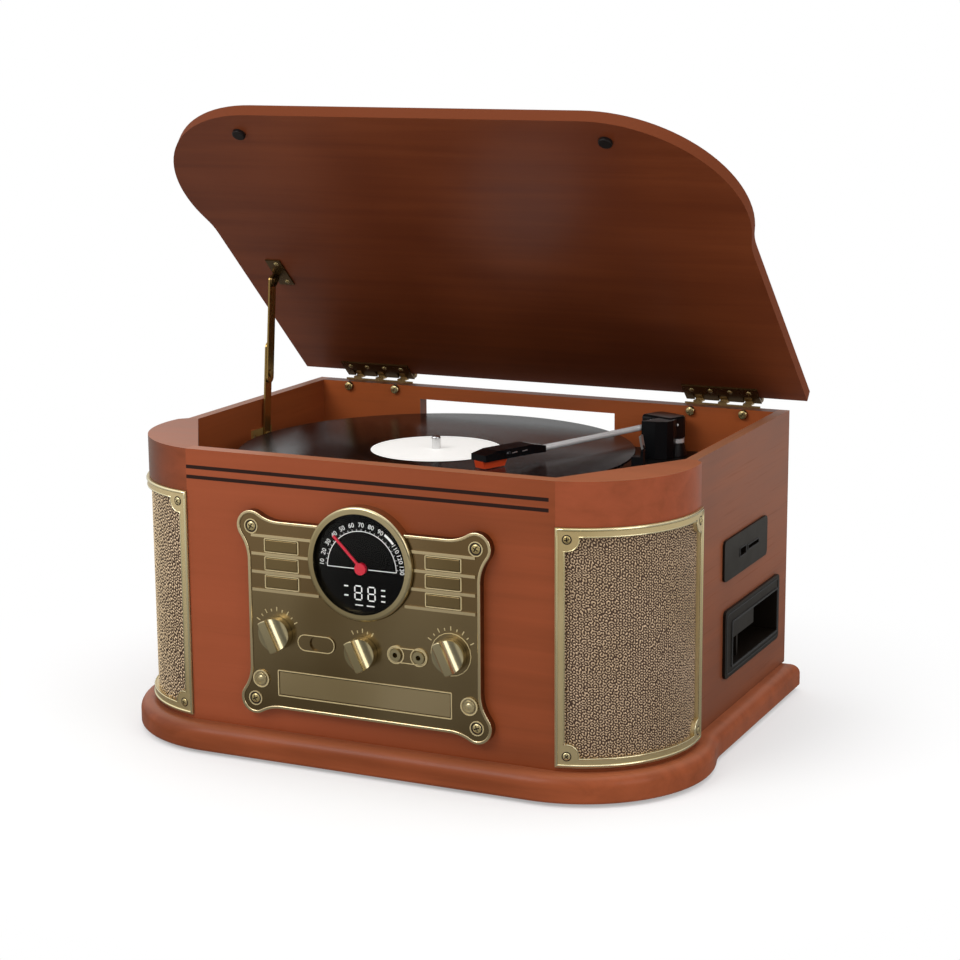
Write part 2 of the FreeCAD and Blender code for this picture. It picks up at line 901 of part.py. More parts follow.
def drive_motor():
    mx, my = motor_place()
    top = deck_z - deck_thickness
    body = rod(Vector(mx, my, top - motor_height), Z, motor_radius, motor_height)
    bore = rod(Vector(mx, my, top - motor_shaft_depth), Z, motor_shaft_radius + running_gap,
               motor_shaft_depth + overrun)
    return body.cut(bore)


def motor_pulley():
    mx, my = motor_place()
    low = deck_z + pulley_gap
    wheel = rod(Vector(mx, my, low), Z, pulley_radius, pulley_height)
    foot = deck_z - deck_thickness - motor_shaft_depth + fit_gap
    return wheel.fuse(rod(Vector(mx, my, foot), Z, motor_shaft_radius, low - foot))


def belt_loop(r_hub, r_pulley, z0, z1):
    """Solid inside an open belt's outline round the hub and the pulley."""
    mx, my = motor_place()
    hub = rod(Vector(platter_x, platter_y, z0), Z, r_hub, z1 - z0)
    wheel = rod(Vector(mx, my, z0), Z, r_pulley, z1 - z0)
    lean = math.degrees(math.acos((r_hub - r_pulley) / motor_distance))
    points = []
    for sign in (1, -1):
        points.append(on_circle(platter_x, platter_y, r_hub, motor_angle + sign * lean))
    for sign in (-1, 1):
        points.append(on_circle(mx, my, r_pulley, motor_angle + sign * lean))
    run = polygon([(p.x, p.y) for p in points], z0, z1)
    return hub.fuse(wheel).fuse(run)


def drive_belt():
    z0 = deck_z + pulley_gap + (pulley_height - belt_height) / 2
    z1 = z0 + belt_height
    outer = belt_loop(hub_radius + touch_gap + belt_thickness, pulley_radius + touch_gap + belt_thickness, z0, z1)
    inner = belt_loop(hub_radius + touch_gap, pulley_radius + touch_gap, z0 - overrun, z1 + overrun)
    return outer.cut(inner)


def platter():
    centre = Vector(platter_x, platter_y, platter_z)
    disc = rod(centre, Z, platter_radius, platter_height)
    disc = disc.cut(rod(centre - Z * overrun, Z, platter_radius - platter_skirt,
                        platter_height - platter_disc + overrun))
    ring = rod(centre, Z, hub_radius, platter_height - platter_disc)
    ring = ring.cut(rod(centre - Z * overrun, Z, hub_radius - hub_wall, platter_height - platter_disc + overrun))
    post_z = deck_z - bearing_depth
    post = rod(Vector(platter_x, platter_y, post_z), Z, spindle_radius,
               record_top + label_rise + spindle_rise - post_z)
    post = rounded(post, spindle_radius / 2, flat_at(record_top + label_rise + spindle_rise, touch_gap))
    return disc.fuse(ring).fuse(post)


def disc_with_hole(radius, z0, z1):
    disc = rod(Vector(platter_x, platter_y, z0), Z, radius, z1 - z0)
    return disc.cut(rod(Vector(platter_x, platter_y, z0 - overrun), Z, spindle_radius + running_gap,
                        z1 - z0 + 2 * overrun))


def platter_mat():
    return disc_with_hole(mat_radius, platter_top, mat_top)


def record_disc():
    disc = disc_with_hole(record_radius, record_z, record_top)
    return disc.fuse(disc_with_hole(label_radius, record_z, record_top + label_rise))


def speed_switch():
    cap = block(speed_x - speed_half_width, speed_x + speed_half_width,
                speed_y - speed_half_length, speed_y + speed_half_length, deck_z + fit_gap, deck_z + speed_rise)
    stem = block(speed_x - speed_stem_half, speed_x + speed_stem_half,
                 speed_y - speed_stem_half, speed_y + speed_stem_half,
                 deck_z - speed_stem_depth, deck_z + fit_gap)
    return cap.fuse(stem)


# Tonearm, drawn pointing along +X from its swing axis at the origin
def set_arm(shape):
    placed = turned(shape, O, Z, arm_play_angle)
    placed.translate(Vector(arm_x, arm_y, 0))
    return placed


def arm_turret():
    floor = deck_z + turret_floor_rise
    top = floor + turret_height
    foot_z = deck_z + fit_gap
    post = rod(Vector(0, 0, foot_z), Z, turret_post_radius, floor - deck_z)
    foot = Part.makeCone(turret_foot_radius, turret_foot_top, floor - deck_z,
                         Vector(0, turret_foot_side, foot_z), Z)
    skirt = block(turret_half_length - turret_skirt_depth, turret_half_length,
                  -turret_half_width, turret_half_width, foot_z, top)
    shaft = rod(Vector(0, 0, deck_z - turret_shaft_depth), Z, turret_shaft_radius, turret_shaft_depth + fit_gap)
    back_x = turret_half_length - turret_skirt_depth
    nose = polygon([(back_x, turret_nose_tip_side), (turret_nose_tip, turret_nose_tip_side),
                    (turret_nose_middle, turret_nose_middle_side), (turret_nose_end, turret_nose_side),
                    (turret_half_length, turret_nose_side), (back_x, turret_half_width)],
                   foot_z, top - turret_nose_drop)
    house = block(-turret_half_length, turret_half_length, -turret_half_width, turret_half_width,
                  floor, top).fuse(skirt).removeSplitter()
    house = rounded(house, turret_top_round,
                    lambda e: e.BoundBox.XMin > turret_half_length - touch_gap and e.BoundBox.ZMin > floor)
    house = rounded(house, turret_rear_round,
                    lambda e: e.BoundBox.ZLength > turret_rear_round and e.BoundBox.XMax < 0)
    house = rounded(house, turret_front_round,
                    lambda e: e.BoundBox.ZLength > turret_rear_round and e.BoundBox.XMin > 0)
    slot = block(-turret_half_length - overrun, turret_half_length + overrun,
                 -turret_slot_half, turret_slot_half,
                 arm_axis_z - arm_block_height / 2 - arm_tilt_room, top - turret_roof)
    pin = rod(Vector(0, -turret_half_width, arm_axis_z), Y, arm_pin_radius, 2 * turret_half_width)
    nose = nose.cut(slot)
    return set_arm(house.cut(slot).fuse(nose).fuse(pin).fuse(post).fuse(foot).fuse(shaft))


def arm_tube():
    half = arm_block_half - running_gap
    block_shape = block(-turret_half_length + fit_gap, turret_half_length - fit_gap, -half, half,
                        arm_axis_z - arm_block_height / 2, arm_axis_z + arm_block_height / 2)
    bore = rod(Vector(0, -half - overrun, arm_axis_z), Y, arm_pin_radius + running_gap, 2 * (half + overrun))
    block_shape = block_shape.cut(bore)
    start = Vector(turret_half_length - fit_gap - overrun, 0, arm_axis_z)
    end = Vector(arm_length + headshell_tip - headshell_length, 0, arm_axis_z - arm_tube_drop)
    run = end - start
    tube = rod(start, run, arm_tube_radius, run.Length)
    return set_arm(block_shape.fuse(tube))


def headshell():
    x0 = arm_length + headshell_tip - headshell_length
    x1 = arm_length + headshell_tip
    z_neck = arm_axis_z - arm_tube_drop
    z0 = record_top + stylus_clear + stylus_height
    points = [(x0, z_neck - headshell_neck_height / 2), (x1 - stylus_length * 2, z0),
              (x1, z0), (x1, z0 + headshell_thickness * 2 / 3),
              (x1 - stylus_length / 2, z0 + headshell_thickness),
              (x1 - stylus_length * 2, z0 + headshell_thickness),
              (x0, z_neck + headshell_neck_height / 2)]
    vertices = [Vector(px, -headshell_half_width, pz) for px, pz in points]
    wire = Part.Wire([line(a, b) for a, b in zip(vertices, vertices[1:] + vertices[:1])])
    side = Part.Face(wire).extrude(Vector(0, 2 * headshell_half_width, 0))
    plan = polygon([(x0, -headshell_neck_half), (x1 - stylus_length * 2, -headshell_half_width),
                    (x1, -headshell_half_width), (x1, headshell_half_width),
                    (x1 - stylus_length * 2, headshell_half_width), (x0, headshell_neck_half)],
                   deck_z, deck_z + body_height)
    shell = side.common(plan)
    start = Vector(x0 - overrun, 0, z_neck)
    socket = rod(start, X, arm_tube_radius + touch_gap, overrun * 2)
    return set_arm(shell.cut(socket))


def stylus_guard():
    x1 = arm_length + headshell_tip
    x0 = x1 - stylus_length
    z0 = record_top + stylus_clear
    z1 = z0 + stylus_height
    slope = stylus_height / 2
    points = [(x0, z1), (x0 + slope, z0), (x1 - slope / 2, z0), (x1, z1)]
    vertices = [Vector(px, -stylus_half_width, pz) for px, pz in points]
    wire = Part.Wire([line(a, b) for a, b in zip(vertices, vertices[1:] + vertices[:1])])
    return set_arm(Part.Face(wire).extrude(Vector(0, 2 * stylus_half_width, 0)))


def arm_rest():
    """Post beside the record, open on the record's side, drawn along the parked arm."""
    drop = arm_tube_drop * rest_radius / (arm_length - headshell_length)
    seat = arm_axis_z - drop - arm_tube_radius - fit_gap * 2
    half = rest_half
    post = block(-half, half, -half, half, deck_z, seat)
    gap = arm_tube_radius + fit_gap * 2
    wall = block(-half, half, gap, gap + rest_wall, deck_z, deck_z + rest_height)
    peg = rod(Vector(0, 0, deck_z - rest_peg_depth), Z, rest_peg_radius, rest_peg_depth)
    pivot = clip_pivot()
    stem = block(-clip_eye_half, clip_eye_half, pivot.y - rest_wall / 2, pivot.y + rest_wall / 2,
                 deck_z + rest_height - overrun, pivot.z)
    eye = rod(Vector(-clip_eye_half, pivot.y, pivot.z), X, clip_eye_radius, 2 * clip_eye_half)
    bore = rod(Vector(-rest_half, pivot.y, pivot.z), X, clip_pin_radius + running_gap, 2 * rest_half)
    return set_rest(post.fuse(wall).fuse(stem).fuse(eye).cut(bore).fuse(peg))


def set_rest(shape):
    placed = turned(shape, O, Z, arm_park_angle)
    placed.translate(rest_place())
    return placed


def clip_pivot():
    return Vector(0, arm_tube_radius + fit_gap * 2 + rest_wall / 2, deck_z + rest_height + clip_rise)


def arm_clip():
    """Latch that folds over the parked arm, drawn shut and then raised."""
    pivot = clip_pivot()
    half = clip_half_thickness
    clear = clip_eye_half + fit_gap
    plate = block(-rest_half, rest_half, pivot.y - clip_length, pivot.y + half, pivot.z - half, pivot.z + half)
    relief = block(-clear, clear, pivot.y - clip_eye_radius - fit_gap, pivot.y + overrun + half,
                   pivot.z - overrun - half, pivot.z + overrun + half)
    pin = rod(Vector(-rest_half, pivot.y, pivot.z), X, clip_pin_radius, 2 * rest_half)
    clip = plate.cut(relief).fuse(pin)
    return set_rest(turned(clip, pivot, -X, clip_open_angle))


# Control plate
def plate_outline():
    """Solid of the plate's outline, through its full thickness."""
    body = block(-plate_half_width, plate_half_width, -plate_thickness, 0, plate_z0, plate_z1)
    for px in (-lobe_x, lobe_x):
        for pz in (lobe_low_z, lobe_high_z):
            body = body.fuse(rod(Vector(px, -plate_thickness, pz), Y, lobe_radius, plate_thickness))
    body = body.removeSplitter()
    def inner_corner(edge):
        box = edge.BoundBox
        if box.YLength < plate_thickness / 2 or box.XLength > touch_gap or box.ZLength > touch_gap:
            return False
        on_side = abs(abs(box.XMin) - plate_half_width) < touch_gap
        on_end = abs(box.ZMin - plate_z0) < touch_gap or abs(box.ZMin - plate_z1) < touch_gap
        return on_side or on_end
    return rounded(body, lobe_blend, inner_corner)


def plate_rim(outline):
    """Raised bead along the plate's edge."""
    front = -plate_thickness
    faces = [f for f in outline.Faces if f.BoundBox.YMax < front + touch_gap]
    face = faces[0]
    ring = face.cut(face.makeOffset2D(-plate_rim_width))
    rim = ring.extrude(Vector(0, -plate_rim_rise, 0))
    rim = rounded(rim, plate_rim_round, facing(front - plate_rim_rise, touch_gap))
    return outline.fuse(rim)


def key_places():
    places = []
    for side, word in ((-1, "left"), (1, "right")):
        for row in range(key_rows):
            places.append((word, key_rows - row, side * key_x, key_z_low + row * key_pitch))
    return places


def pill(cx, cz, half_width, half_height, y0, y1):
    """Bar with rounded ends, standing between two depths."""
    flat = half_width - half_height
    bar = block(cx - flat, cx + flat, y0, y1, cz - half_height, cz + half_height)
    for px in (cx - flat, cx + flat):
        bar = bar.fuse(rod(Vector(px, y0, cz), Y, half_height, y1 - y0))
    return bar


def control_plate():
    front = -plate_thickness
    plate = plate_rim(plate_outline())
    pocket = block(-plate_half_width + plate_border, plate_half_width - plate_border,
                   front + plate_sheet, overrun, plate_z0 + plate_border, plate_z1 - plate_border)
    plate = plate.cut(pocket)
    for side in (-1, 1):
        for row in range(rib_count):
            rz = rib_z_low + row * rib_pitch
            ends = sorted((side * (dial_inner_radius - rib_width), side * (plate_half_width - plate_border / 2)))
            rib = block(ends[0], ends[1], front - rib_height, front + touch_gap,
                        rz - rib_width / 2, rz + rib_width / 2)
            plate = plate.fuse(rib)
    plate = plate.fuse(pill(sensor_x, sensor_z, sensor_half_width, sensor_half_height,
                            front - boss_rise, front + touch_gap))
    plate = plate.fuse(pill(jack_x, jack_z, jack_half_width, jack_half_height,
                            front - boss_rise, front + touch_gap))
    for px in (-round_key_x, round_key_x):
        plate = plate.fuse(rod(Vector(px, front - boss_rise, round_key_z), Y, round_key_ring,
                               boss_rise + touch_gap))
    depth = plate_thickness + boss_rise + 2 * overrun
    start_y = front - boss_rise - overrun
    dial_depth = depth + rib_height + plate_rim_rise
    holes = [rod(Vector(0, -dial_depth, dial_z), Y, dial_radius + fit_gap, dial_depth + overrun)]
    dish = rod(Vector(sensor_x, front - boss_rise - overrun, sensor_z), Y, sensor_dish_radius,
               sensor_dish_depth + overrun)
    holes.append(dish)
    for px in (-round_key_x, round_key_x):
        holes.append(rod(Vector(px, start_y, round_key_z), Y, round_key_radius + fit_gap, depth))
        for pz in (lobe_low_z, lobe_high_z):
            centre_x = math.copysign(lobe_x, px)
            holes.append(rod(Vector(centre_x, start_y, pz), Y, plate_screw_radius + touch_gap, depth))
    for px in (jack_x - jack_spacing / 2, jack_x + jack_spacing / 2):
        holes.append(rod(Vector(px, start_y, jack_z), Y, jack_body_radius + touch_gap, depth))
    for px, pz in knob_places():
        holes.append(rod(Vector(px, start_y, pz), Y, knob_shaft_radius + fit_gap, depth))
    for word, row, kx, kz in key_places():
        holes.append(block(kx - key_half_width - fit_gap, kx + key_half_width + fit_gap,
                           start_y, overrun, kz - key_half_height - fit_gap, kz + key_half_height + fit_gap))
    holes.append(block(-drawer_half_width - fit_gap, drawer_half_width + fit_gap, start_y, overrun,
                       drawer_z0 - fit_gap, drawer_z1 + fit_gap))
    for hole in holes:
        plate = plate.cut(hole)
    return plate.removeSplitter()


def dial_bezel():
    ring = rod(Vector(0, -dial_proud, dial_z), Y, dial_radius, dial_proud)
    ring = rounded(ring, dial_round, facing(-dial_proud, touch_gap))
    mouth = rod(Vector(0, -dial_proud - overrun, dial_z), Y, dial_inner_radius, dial_proud + 2 * overrun)
    seat = rod(Vector(0, -dial_proud + dial_lip, dial_z), Y, dial_seat_radius, dial_proud)
    return ring.cut(mouth).cut(seat)


def dial_face():
    disc = rod(Vector(0, -dial_face_depth, dial_z), Y, dial_seat_radius - touch_gap, dial_face_thickness)
    hole = rod(Vector(0, -dial_face_depth - overrun, dial_hub_z), Y, pointer_shaft_radius + running_gap,
               dial_face_thickness + 2 * overrun)
    return disc.cut(hole)


def dial_pointer():
    back = -dial_face_depth - pointer_gap
    hub = rod(Vector(0, back - pointer_hub_depth, dial_hub_z), Y, pointer_hub_radius, pointer_hub_depth)
    needle = block(0, pointer_length, back - pointer_thickness, back,
                   dial_hub_z - pointer_half_width, dial_hub_z + pointer_half_width)
    needle = turned(needle, Vector(0, 0, dial_hub_z), -Y, pointer_angle)
    shaft = rod(Vector(0, back - overrun, dial_hub_z), Y, pointer_shaft_radius, pointer_shaft_length)
    return hub.fuse(needle).fuse(shaft)


def knob_places():
    return [(-knob_x, knob_z), (0.0, tuning_knob_z), (knob_x, knob_z)]


def knob(px, pz, radius):
    """Round knob with a grip bar left between two scoops in its face."""
    back = -plate_thickness - fit_gap
    front = back - knob_depth
    body = rod(Vector(px, front, pz), Y, radius, knob_depth)
    body = rounded(body, knob_round, facing(front, touch_gap))
    for side in (-1, 1):
        scoop = rod(Vector(px + side * knob_scoop_offset, front - knob_scoop_lift, pz - 2 * radius), Z,
                    knob_scoop_radius, 4 * radius)
        body = body.cut(scoop)
    body = turned(body, Vector(px, 0, pz), Y, -knob_turn)
    shaft = rod(Vector(px, back - overrun, pz), Y, knob_shaft_radius, knob_shaft_length)
    return body.fuse(shaft)


def control_pots():
    solids = []
    start_y = -plate_thickness + plate_sheet
    for px, pz in knob_places():
        body = rod(Vector(px, start_y, pz), Y, pot_radius, pot_depth)
        bore_depth = knob_shaft_length - overrun - fit_gap - plate_sheet + fit_gap * 2
        bore = rod(Vector(px, start_y - overrun, pz), Y, knob_shaft_radius + running_gap, bore_depth + overrun)
        solids.append(body.cut(bore))
    return Part.makeCompound(solids)


def main_board():
    start_y = -plate_thickness + plate_sheet + pot_depth
    board = block(-board_half_width, board_half_width, start_y, start_y + board_thickness, board_z0, board_z1)
    for px in (-knob_x / 2, knob_x / 2):
        chip = block(px - chip_size, px + chip_size, start_y + board_thickness,
                     start_y + board_thickness + chip_height,
                     knob_z - chip_size / 2, knob_z + chip_size / 2)
        board = board.fuse(chip)
    return Part.makeCompound([board] + [key_board(side) for side in (-1, 1)])


def key_board(side):
    """Small board on posts behind one column of keys, with a switch for each key."""
    cx = side * key_x
    reach = key_half_width + key_board_margin
    low = key_z_low - key_half_height - key_board_margin
    high = key_z_low + (key_rows - 1) * key_pitch + key_half_height + key_board_margin
    board = block(cx - reach, cx + reach, key_board_y, key_board_y + board_thickness, low, high)
    switch_y = key_depth - plate_thickness - key_proud + key_switch_gap
    for row in range(key_rows):
        kz = key_z_low + row * key_pitch
        board = board.fuse(block(cx - key_switch_size, cx + key_switch_size, switch_y, key_board_y + touch_gap,
                                 kz - key_switch_size, kz + key_switch_size))
    for row in range(key_rows - 1):
        post = rod(Vector(cx, plate_sheet - plate_thickness, key_z_low + (row + key_share) * key_pitch), Y,
                   key_board_post_radius, plate_thickness - plate_sheet + key_board_y)
        board = board.fuse(post)
    return board


def key(kx, kz):
    front = -plate_thickness - key_proud
    cap = block(kx - key_half_width, kx + key_half_width, front, front + key_depth,
                kz - key_half_height, kz + key_half_height)
    return rounded(cap, key_round, facing(front, touch_gap))


def round_key(px):
    front = -plate_thickness - boss_rise - round_key_proud
    cap = rod(Vector(px, front, round_key_z), Y, round_key_radius, key_depth)
    return rounded(cap, key_round, facing(front, touch_gap))


def audio_jacks():
    solids = []
    front = -plate_thickness - boss_rise - jack_lip
    for px in (jack_x - jack_spacing / 2, jack_x + jack_spacing / 2):
        body = rod(Vector(px, front, jack_z), Y, jack_body_radius, jack_depth)
        bore = rod(Vector(px, front - overrun, jack_z), Y, jack_bore_radius, jack_depth)
        solids.append(body.cut(bore))
    return Part.makeCompound(solids)


# Disc drawer
def cd_drawer():
    front = -plate_thickness
    face = block(-drawer_half_width, drawer_half_width, front, front + drawer_front_thickness,
                 drawer_z0, drawer_z1)
    z0 = drawer_z0 + tray_rise
    tray = block(-tray_half_width, tray_half_width, front + drawer_front_thickness, tray_depth,
                 z0, z0 + tray_height)
    recess = rod(Vector(0, disc_recess_y, z0 + tray_height - disc_recess_depth), Z,
                 disc_recess_radius, tray_height)
    return face.fuse(tray.cut(recess))


def cd_mechanism():
    z0 = drawer_z0 + tray_rise - fit_gap - drive_wall
    box = block(-drive_half_width, drive_half_width, drive_y0, drive_y0 + drive_depth, z0, z0 + drive_height)
    bay = block(-tray_half_width - fit_gap, tray_half_width + fit_gap, drive_y0 - overrun,
                drive_y0 + drive_depth - drive_wall, z0 + drive_wall,
                z0 + drive_wall + tray_height + 4 * fit_gap)
    legs = []
    for px in (-drive_half_width + drive_wall, drive_half_width - 3 * drive_wall):
        legs.append(block(px, px + 2 * drive_wall, drive_y0 + drive_wall, drive_y0 + drive_depth - drive_wall,
                          base_top, z0))
    body = box.cut(bay)
    for leg in legs:
        body = body.fuse(leg)
    return body


# Right side fittings
def framed_plate(y0, y1, z0, z1, thickness):
    plate = block(side_half_width, side_half_width + thickness, y0, y1, z0, z1)
    return rounded(plate, port_round, lambda e: e.BoundBox.XLength > thickness / 2)


def usb_panel():
    plate = framed_plate(port_y0, port_y1, port_z0, port_z1, port_flange)
    inset = port_inset + fit_gap
    body = block(side_half_width - port_depth, side_half_width, port_y0 + inset, port_y1 - inset,
                 port_z0 + inset, port_z1 - inset)
    shape = plate.fuse(body)
    middle = (port_z0 + port_z1) / 2
    face_x = side_half_width + port_flange
    slot = block(face_x - usb_depth, face_x + overrun, usb_y - usb_half_width, usb_y + usb_half_width,
                 middle - usb_half_height, middle + usb_half_height)
    card = block(face_x - usb_depth, face_x + overrun, card_y - card_half_width, card_y + card_half_width,
                 middle - card_half_height, middle + card_half_height)
    return shape.cut(slot).cut(card)


def cassette_bezel():
    plate = framed_plate(cassette_y0, cassette_y1, cassette_z0, cassette_z1, cassette_flange)
    wall = cassette_tunnel_wall
    tunnel_x = side_half_width - cassette_tunnel_depth
    tunnel = block(tunnel_x, side_half_width, cassette_mouth_y0 - wall, cassette_mouth_y1 + wall,
                   cassette_mouth_z0 - wall, cassette_mouth_z1 + wall)
    mouth = block(tunnel_x - overrun, side_half_width + cassette_flange + overrun,
                  cassette_mouth_y0, cassette_mouth_y1, cassette_mouth_z0, cassette_mouth_z1)
    pin_x, pin_height = flap_pin_place()
    guide = block(pin_x - guide_depth, pin_x + flap_half_thickness, guide_y0, guide_y1,
                  cassette_mouth_z0 - wall / 2, pin_height - flap_drop - fit_gap)
    bore = rod(Vector(pin_x, cassette_mouth_y0 - wall - overrun, pin_height), Y,
               flap_pin_radius + running_gap, cassette_mouth_y1 - cassette_mouth_y0 + 2 * (wall + overrun))
    return plate.fuse(tunnel).cut(mouth).fuse(guide).cut(bore)


def flap_pin_place():
    return side_half_width - flap_set_back, cassette_mouth_z1 - flap_pin_drop


def tape_flap():
    """Dust flap that a cassette pushes inwards, hanging from a pin across the mouth."""
    pin_x, pin_height = flap_pin_place()
    plate = block(pin_x - flap_half_thickness, pin_x + flap_half_thickness, flap_y0, flap_y1,
                  pin_height - flap_drop, pin_height)
    barrel = rod(Vector(pin_x, flap_y0, pin_height), Y, flap_knuckle_radius, flap_y1 - flap_y0)
    reach = cassette_tunnel_wall - fit_gap
    pin = rod(Vector(pin_x, cassette_mouth_y0 - reach, pin_height), Y, flap_pin_radius,
              cassette_mouth_y1 - cassette_mouth_y0 + 2 * reach)
    return plate.fuse(barrel).fuse(pin)


def cassette_mechanism():
    x1 = side_half_width - cassette_tunnel_depth
    wall = cassette_tunnel_wall
    body = block(x1 - tape_block_depth, x1, cassette_mouth_y0 - wall, cassette_mouth_y1 + wall,
                 cassette_mouth_z0 - wall, cassette_mouth_z1 + wall)
    middle_y = (cassette_mouth_y0 + cassette_mouth_y1) / 2
    middle_z = (cassette_mouth_z0 + cassette_mouth_z1) / 2
    head = block(x1 - overrun, x1 + tape_head_depth, middle_y - tape_head_half, middle_y + tape_head_half,
                 middle_z - tape_head_half, middle_z + tape_head_half)
    return body.fuse(head)


# Back fittings
def rear_connector_plate():
    plate = block(rear_x - rear_half_width, rear_x + rear_half_width, body_depth, body_depth + rear_plate,
                  rear_z0, rear_z1)
    inset = rear_inset + fit_gap
    body = block(rear_x - rear_half_width + inset, rear_x + rear_half_width - inset,
                 body_depth - rear_box_depth, body_depth, rear_z0 + inset, rear_z1 - inset)
    shape = plate.fuse(body)
    middle = (rear_z0 + rear_z1) / 2
    for px in (rear_x + line_spacing / 2, rear_x + line_spacing * 3 / 2):
        shape = shape.fuse(rod(Vector(px, body_depth + rear_plate, middle), Y, line_radius, line_length))
    inlet = rod(Vector(inlet_x, body_depth + rear_plate - inlet_depth, middle), Y, inlet_radius,
                inlet_depth + overrun)
    return shape.cut(inlet)


# Hinges. Lid pieces are drawn closed and then opened about the pin.
def opened(shape):
    return turned(shape, Vector(0, pin_y, pin_z), -X, lid_open_angle)


def wall_fingers(cx):
    return [(cx + step * finger_pitch - finger_width / 2, cx + step * finger_pitch + finger_width / 2)
            for step in (-1, 0, 1)]


def lid_fingers(cx):
    edges = [cx - hinge_leaf_width / 2]
    for x0, x1 in wall_fingers(cx):
        edges += [x0 - fit_gap, x1 + fit_gap]
    edges.append(cx + hinge_leaf_width / 2)
    return list(zip(edges[::2], edges[1::2]))


def knuckle(x0, x1):
    return rod(Vector(x0, pin_y, pin_z), X, knuckle_radius, x1 - x0)


def pin_bore(cx):
    return rod(Vector(cx - hinge_leaf_width, pin_y, pin_z), X, hinge_pin_radius + running_gap,
               2 * hinge_leaf_width)


def hinge_wall_leaves():
    solids = []
    thick = hinge_leaf_thickness
    web_z = pin_z - hinge_web_drop
    for cx in (-hinge_x, hinge_x):
        half = hinge_leaf_width / 2
        top = web_z - thick - fit_gap
        leaf = block(cx - half, cx + half, body_depth, body_depth + thick, top - hinge_wall_leaf_depth, top)
        for x0, x1 in wall_fingers(cx):
            strap = block(x0, x1, body_depth, body_depth + thick, top - thick, web_z)
            web = block(x0, x1, body_depth, pin_y + thick, web_z - thick, web_z)
            riser = block(x0, x1, pin_y - thick, pin_y + thick, web_z - thick, pin_z)
            leaf = leaf.fuse(strap).fuse(web).fuse(riser).fuse(knuckle(x0, x1))
        leaf = leaf.cut(pin_bore(cx))
        for step in (-1, 1):
            hole = rod(Vector(cx + step * hinge_bolt_x, body_depth - overrun, rim_z - hinge_bolt_drop), Y,
                       hinge_bolt_radius + running_gap, thick + 2 * overrun)
            leaf = leaf.cut(hole)
        solids.append(leaf)
    return Part.makeCompound(solids + hinge_pins())


def hinge_lid_leaves():
    solids = []
    thick = hinge_leaf_thickness
    for cx in (-hinge_x, hinge_x):
        half = hinge_leaf_width / 2
        front = lid_rear_y - hinge_lid_leaf_depth
        back = body_depth - fit_gap
        leaf = block(cx - half, cx + half, front, back, lid_under_z - thick, lid_under_z)
        for x0, x1 in lid_fingers(cx):
            finger = block(x0, x1, back - overrun, pin_y + thick, lid_under_z - thick, lid_under_z)
            riser = block(x0, x1, pin_y - thick, pin_y + thick, lid_under_z - thick, pin_z)
            leaf = leaf.fuse(finger).fuse(riser).fuse(knuckle(x0, x1))
        solids.append(opened(leaf.cut(pin_bore(cx))))
    return Part.makeCompound(solids)


def hinge_pins():
    half = hinge_leaf_width / 2 + fit_gap
    return [rod(Vector(cx - half, pin_y, pin_z), X, hinge_pin_radius, 2 * half)
            for cx in (-hinge_x, hinge_x)]


def hinge_bolts():
    solids = []
    for bx in hinge_bolt_places():
        z = rim_z - hinge_bolt_drop
        head = rod(Vector(bx, back_inner_y - hinge_bolt_head_depth, z), Y, hinge_bolt_head, hinge_bolt_head_depth)
        head = rounded(head, hinge_bolt_head_depth / 2,
                       facing(back_inner_y - hinge_bolt_head_depth, touch_gap))
        shank = rod(Vector(bx, back_inner_y, z), Y, hinge_bolt_radius, back_wall + hinge_leaf_thickness)
        nut = rod(Vector(bx, body_depth + hinge_leaf_thickness, z), Y, hinge_nut_radius, hinge_nut_depth)
        solids.append(head.fuse(shank).fuse(nut))
    return Part.makeCompound(solids)


# Lid
def lid_board():
    board = prism(board_outline(lid_overhang, lid_rear_y), lid_under_z, lid_under_z + lid_thickness)
    board = rounded(board, lid_edge_round, flat_at(lid_under_z + lid_thickness, touch_gap))
    return opened(board)


def lid_bumpers():
    low = lid_under_z - bumper_height
    solids = []
    for px in (-bumper_x, bumper_x):
        pad = rod(Vector(px, bumper_y, low), Z, bumper_radius, bumper_height)
        solids.append(opened(rounded(pad, bumper_height / 3, flat_at(low, touch_gap))))
    return Part.makeCompound(solids)


# Folding stay on the left wall
stay_wall_x = -side_inner_x + stay_wall_gap
stay_low = Vector(stay_wall_x, stay_pivot_y, deck_z + stay_pivot_rise)
stay_reach = stay_lower_length + stay_upper_length


def stay_high():
    """Upper pivot with the lid open: where the straight stay meets the lid's own turning circle."""
    closed = stay_closed_pivot()
    return turned(Part.Vertex(closed), Vector(0, pin_y, pin_z), -X, lid_open_angle).Point


def stay_closed_pivot():
    """Upper pivot with the lid shut, one half width under the lid."""
    z = lid_under_z - stay_half_width - hinge_leaf_thickness / 2
    knee = stay_low + Y * stay_lower_length
    drop = z - knee.z
    return Vector(stay_wall_x, knee.y - math.sqrt(stay_upper_length ** 2 - drop ** 2), z)


def bar(start, end, tail, x0, thickness):
    """Flat bar with round ends from start past end by tail, standing at x0."""
    run = Vector(0, end.y - start.y, end.z - start.z)
    length = run.Length
    run.normalize()
    tip = start + run * (length + tail)
    side = Vector(0, -run.z, run.y) * stay_half_width
    points = [start + side, tip + side, tip - side, start - side]
    points = [Vector(x0, p.y, p.z) for p in points]
    wire = Part.Wire([line(a, b) for a, b in zip(points, points[1:] + points[:1])])
    solid = Part.Face(wire).extrude(Vector(thickness, 0, 0))
    for p in (start, tip):
        solid = solid.fuse(rod(Vector(x0, p.y, p.z), X, stay_half_width, thickness))
    return solid.removeSplitter()


def knee_point():
    high = stay_high()
    run = high - stay_low
    run.x = 0
    return stay_low + run * (stay_lower_length / run.Length)


